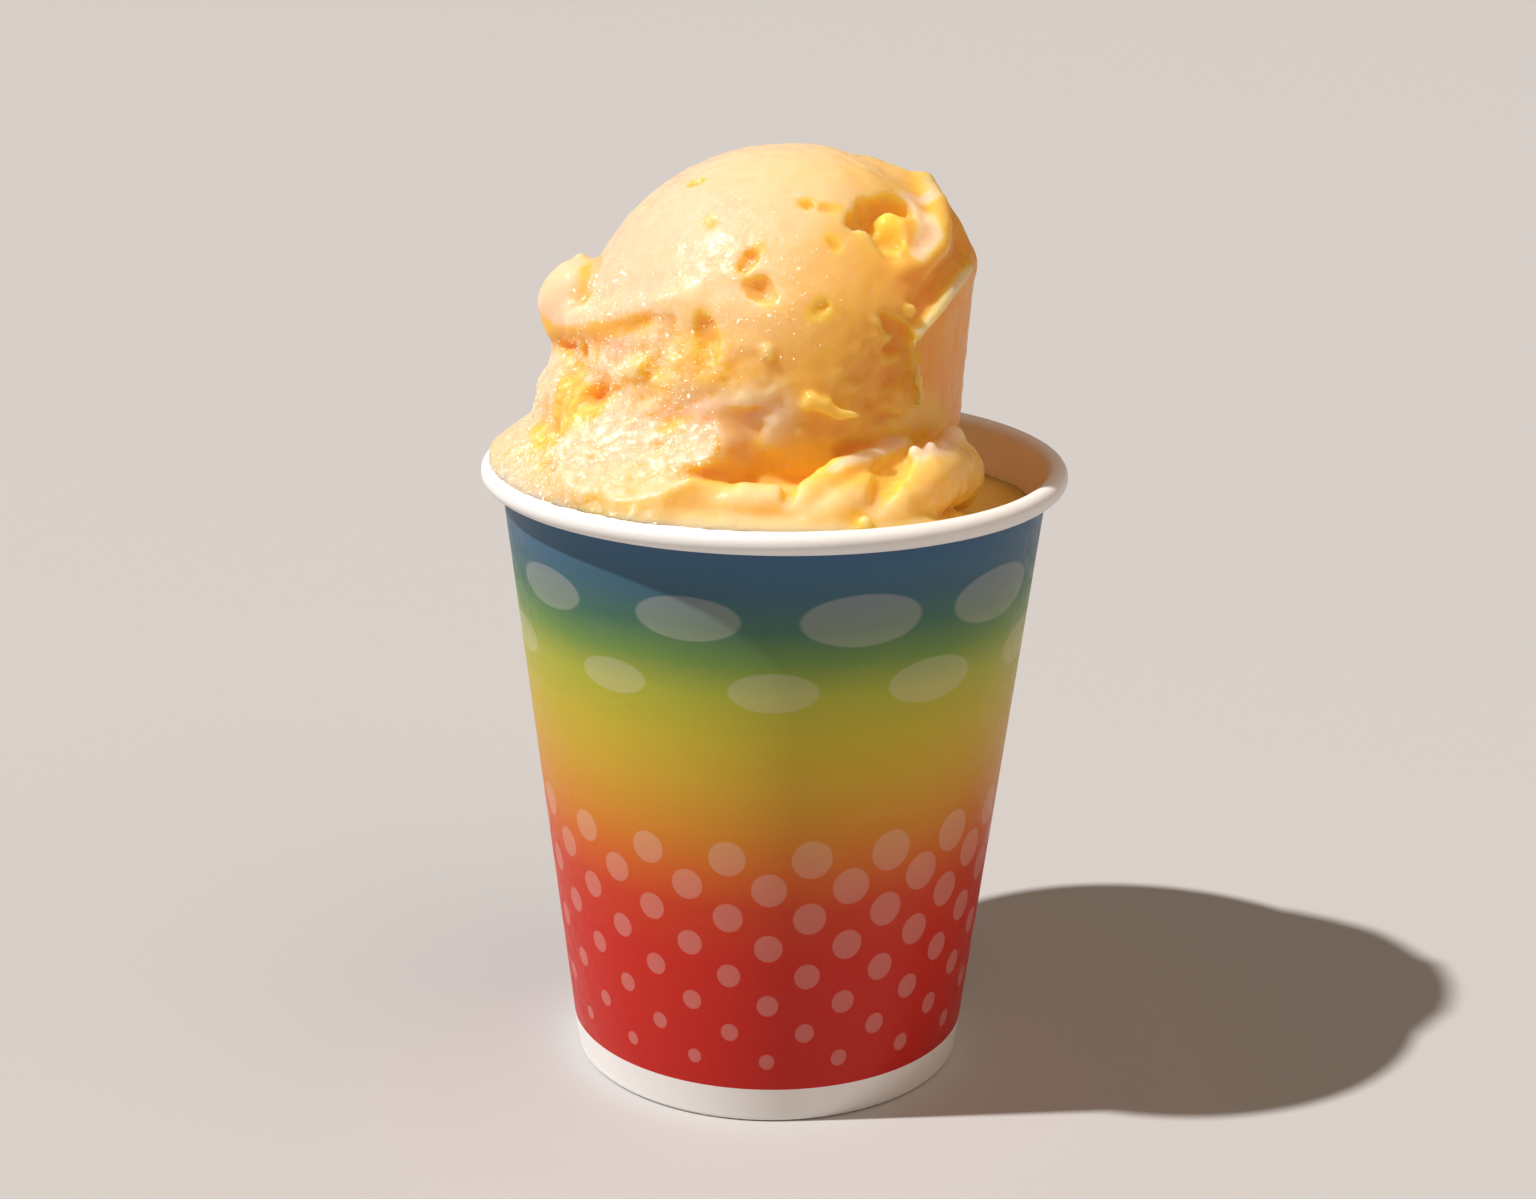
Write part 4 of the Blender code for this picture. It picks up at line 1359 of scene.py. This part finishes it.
@dataclass
class IceGrains:
    """Ice grains strewn over the sorbet by a node tree."""

    size: GrainSize
    per_area: float
    seed: int

    def tree(self, material: bpy.types.Material) -> bpy.types.GeometryNodeTree:
        """Node tree that strews grains on the faces of its input.

        Args:
            material: the grains' finish.

        Returns:
            The tree, whose inputs are the density, the radius and the seed.
        """
        group = bpy.data.node_groups.new("ice_grains", "GeometryNodeTree")
        for name, side, kind in (
                ("Geometry", "INPUT", "Geometry"), ("Grains per Area", "INPUT", "Float"),
                ("Grain Radius", "INPUT", "Float"), ("Seed", "INPUT", "Int"),
                ("Geometry", "OUTPUT", "Geometry")):
            group.interface.new_socket(name, in_out=side, socket_type=f"NodeSocket{kind}")
        g = NodeGraph(group)
        ground = g.node("NodeGroupInput")
        icy = g.node("GeometryNodeInputNamedAttribute", {"data_type": "FLOAT"}, {"Name": "icy"})
        strew = g.node("GeometryNodeDistributePointsOnFaces", None, {
            "Mesh": ground, "Density": ground.beside("Grains per Area") * icy,
            "Seed": ground.beside("Seed")})
        grain = g.node("GeometryNodeMeshIcoSphere", None, {
            "Radius": ground.beside("Grain Radius"), "Subdivisions": 1})
        sizes = g.node("FunctionNodeRandomValue", {"data_type": "FLOAT_VECTOR"},
                       {0: (0.5, 0.5, 0.35), 1: (1.5, 1.3, 1.0)})
        turns = g.node("FunctionNodeRandomValue", {"data_type": "FLOAT_VECTOR"}, {1: (math.tau,) * 3})
        placed = g.node("GeometryNodeInstanceOnPoints", None, {
            "Points": strew, "Instance": grain, "Scale": sizes, "Rotation": turns})
        real = g.node("GeometryNodeRealizeInstances", None, {"Geometry": placed})
        dressed = g.node("GeometryNodeSetMaterial", None, {"Geometry": real, "Material": material})
        g.feed(group.nodes.new("NodeGroupOutput").inputs["Geometry"], dressed)
        return group

    def build(self, ground: bpy.types.Object, material: bpy.types.Material) -> bpy.types.Object:
        """Strew the grains over a piece.

        Args:
            ground: the piece they lie on, which carries the attribute icy.
            material: their finish.

        Returns:
            The grains as one mesh that rides with the frame.
        """
        carrier = bpy.data.objects.new("grain_carrier", ground.data.copy())
        bpy.context.scene.collection.objects.link(carrier)
        tree = self.tree(material)
        strew = carrier.modifiers.new("strew", "NODES")
        strew.node_group = tree
        settings = {"Grains per Area": self.per_area, "Grain Radius": self.size.value, "Seed": self.seed}
        for item in tree.interface.items_tree:
            if item.in_out == "INPUT" and item.name in settings:
                strew[item.identifier] = settings[item.name]
        evaluated = carrier.evaluated_get(bpy.context.evaluated_depsgraph_get())
        mesh = bpy.data.meshes.new_from_object(evaluated)
        bpy.data.objects.remove(carrier)
        piece = bpy.data.objects.new(f"ice_grains_{self.size.name.lower()}", mesh)
        bpy.context.scene.collection.objects.link(piece)
        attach(piece, "root")
        return piece


@dataclass
class PaperCup:
    """The paper cup: a turned wall with its curl, foot and hem, and the frame's base."""

    shape: CupShape
    segments: int = 256
    curl_steps: int = 22
    inner_curl_steps: int = 16
    wall_steps: int = 24
    inner_steps: int = 12
    foot_steps: int = 7
    fold_steps: int = 4
    sharp_deg: float = 50.0

    def arc(self, centre: tuple[float, float], radius: float, start_deg: float, end_deg: float,
            steps: int) -> list[tuple[float, float]]:
        """Points of an arc in the section, both ends included."""
        angles = np.radians(np.linspace(start_deg, end_deg, steps + 1))
        return [(centre[0] + radius * math.cos(a), centre[1] + radius * math.sin(a)) for a in angles]

    def section(self) -> tuple[list[tuple[float, float]], range]:
        """Draw the wall's section.

        Returns:
            Radius and height of each point of the closed section, and the numbers of its printed points.
        """
        s = self.shape
        lean = math.atan2(s.inner_radius(s.height) - s.inner_radius(0.0), s.height - s.curl_radius)
        start = 180.0 - math.degrees(lean)
        outside = self.arc(s.curl_centre, s.curl_radius, start, s.curl_end_deg, self.curl_steps)
        inside = self.arc(s.curl_centre, s.curl_radius - s.paper, s.curl_end_deg, start,
                          self.inner_curl_steps)
        top = inside[-1]
        heights = np.linspace(top[1], s.foot_band, self.wall_steps)[1:]
        wall = [(s.inner_radius(z) + s.paper, z) for z in heights]
        channel = s.paper + 2.0 * s.fit_gap
        hem_outer = s.inner_radius(s.paper) - channel
        hem_inner = hem_outer - s.paper
        hem_lean = s.inner_radius(s.hem_height) - s.inner_radius(s.paper)
        bend, half = s.foot_bend, s.foot_bend / 2
        foot = self.arc((s.foot_radius - bend, bend), bend, 0.0, -90.0, self.foot_steps)
        fold = self.arc((hem_inner + half, half), half, -90.0, -180.0, self.fold_steps)
        hem = [(hem_inner + hem_lean, s.hem_height), (hem_outer + hem_lean, s.hem_height),
               (hem_outer, s.paper), (s.inner_radius(s.paper), s.paper)]
        first = len(outside) + len(inside) - 1
        inner_heights = np.linspace(s.paper, s.curl_centre[1], self.inner_steps)[1:-1]
        rise = [(s.inner_radius(z), z) for z in inner_heights]
        points = outside + inside + wall + foot + fold + hem + rise
        return points, range(first, first + len(wall))

    def build(self) -> list[bpy.types.Object]:
        """Turn the wall, print it and dress the base.

        Returns:
            The pieces made.
        """
        section, printed = self.section()
        count = len(section)
        angles = np.linspace(0.0, 2.0 * math.pi, self.segments, endpoint=False) + math.pi / 2
        r, z = np.array(section).T
        rings = (np.outer(np.cos(angles), r), np.outer(np.sin(angles), r), np.tile(z, (self.segments, 1)))
        points = np.stack(rings, axis=-1).reshape(-1, 3)
        faces, looks, places = [], [], []
        z_low, z_high = z[printed.stop], z[printed.start]
        for turn in range(self.segments):
            after = (turn + 1) % self.segments
            for here in range(count):
                there = (here + 1) % count
                faces.append((turn * count + here, turn * count + there,
                              after * count + there, after * count + here))
                looks.append(int(here in printed))
                v_here, v_there = ((z[i] - z_low) / (z_high - z_low) for i in (here, there))
                u_here, u_after = turn / self.segments, (turn + 1) / self.segments
                places += [(u_here, v_here), (u_here, v_there), (u_after, v_there), (u_after, v_here)]
        piece = new_piece("paper_wall", points, faces)
        uv = piece.data.uv_layers.new(name="print")
        uv.data.foreach_set("uv", np.array(places, dtype=np.float32).ravel())
        for finish in (PaperFinish(), PrintFinish()):
            piece.data.materials.append(finish.build())
        piece.data.polygons.foreach_set("material_index", looks)
        shape = bmesh.new()
        shape.from_mesh(piece.data)
        bmesh.ops.recalc_face_normals(shape, faces=shape.faces)
        shape.to_mesh(piece.data)
        shape.free()
        piece.data.set_sharp_from_angle(angle=math.radians(self.sharp_deg))
        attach(piece, "root")
        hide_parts("cup_wall")
        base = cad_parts["cup_base"]
        base.data.materials.clear()
        base.data.materials.append(piece.data.materials[0])
        return [piece]


@dataclass
class Studio:
    """Floor, lights and camera."""

    camera_place: Point = (0.0, -0.3799, 0.1909)
    camera_pitch_deg: float = 17.27
    camera_yaw_deg: float = 0.11
    camera_roll_deg: float = -0.75
    focal_share: float = 2600.0 / 1536.0
    sensor: float = 36.0
    key_from: Point = (-0.554, -0.148, 0.819)
    key_strength: float = 4.05
    key_colour: Colour = (1.0, 0.97, 0.95)
    fill_from: Point = (0.60, -0.32, 1.05)
    fill_strength: float = 1.0
    fill_colour: Colour = (1.0, 0.75, 0.56)
    sky_strength: float = 0.055
    floor_half: float = 60.0
    floor_colour: Colour = (0.50, 0.49, 0.48)

    def build(self) -> None:
        """Make the floor, the lights and the camera."""
        self.floor()
        self.light("key", self.key_from, 1.5, self.key_strength, self.key_colour)
        self.light("fill", self.fill_from, 60.0, self.fill_strength, self.fill_colour)
        world = bpy.data.worlds.new("studio")
        world.use_nodes = True
        shade = world.node_tree.nodes["Background"]
        shade.inputs["Color"].default_value = (1.0, 1.0, 1.0, 1.0)
        shade.inputs["Strength"].default_value = self.sky_strength
        bpy.context.scene.world = world
        bpy.context.scene.view_settings.view_transform = "Standard"
        self.camera()

    def floor(self) -> None:
        """Plain pale floor."""
        mesh = bpy.data.meshes.new("floor")
        half = self.floor_half
        corners = [(-half, -half, 0.0), (half, -half, 0.0), (half, half, 0.0), (-half, half, 0.0)]
        mesh.from_pydata(corners, [], [(0, 1, 2, 3)])
        floor = bpy.data.objects.new("floor", mesh)
        bpy.context.scene.collection.objects.link(floor)
        g = ShaderGraph("floor")
        mesh.materials.append(g.finish({"Base Color": self.floor_colour, "Roughness": 0.9}))

    def light(self, name: str, source: Point, spread_deg: float, strength: float, colour: Colour) -> None:
        """Far light that shines on the object.

        Args:
            name: its name.
            source: direction that it comes from.
            spread_deg: angle over which it is spread.
            strength: its strength.
            colour: its colour.
        """
        data = bpy.data.lights.new(name, "SUN")
        data.angle = math.radians(spread_deg)
        data.energy = strength
        data.color = colour
        lamp = bpy.data.objects.new(name, data)
        lamp.location = source
        lamp.rotation_euler = (-Vector(source)).to_track_quat("-Z", "Y").to_euler()
        bpy.context.scene.collection.objects.link(lamp)

    def camera(self) -> None:
        """Camera at the photograph's angle."""
        data = bpy.data.cameras.new("camera")
        data.sensor_width = self.sensor
        data.lens = self.focal_share * self.sensor
        camera = bpy.data.objects.new("camera", data)
        turn = Matrix.Rotation(math.radians(self.camera_yaw_deg), 4, "Z")
        tilt = Matrix.Rotation(math.radians(90.0 - self.camera_pitch_deg), 4, "X")
        level = Matrix.Rotation(math.radians(-self.camera_roll_deg), 4, "Z")
        camera.matrix_world = Matrix.Translation(self.camera_place) @ turn @ tilt @ level
        bpy.context.scene.collection.objects.link(camera)
        bpy.context.scene.camera = camera


def main() -> None:
    """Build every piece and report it."""
    logging.basicConfig(level=logging.INFO, format="%(name)s: %(message)s")
    shape = CupShape.from_frame()
    Studio().build()
    pieces = PaperCup(shape).build()
    sorbet = Sorbet(shape).build()
    pieces.append(sorbet)
    ice = IceFinish().build()
    pieces.append(IceGrains(GrainSize.FINE, 2.0e6, 7).build(sorbet, ice))
    pieces.append(IceGrains(GrainSize.COARSE, 1.3e5, 8).build(sorbet, ice))
    for piece in pieces:
        LOG.info("%s: %d faces", piece.name, len(piece.data.polygons))


if __name__ == "__main__":
    main()
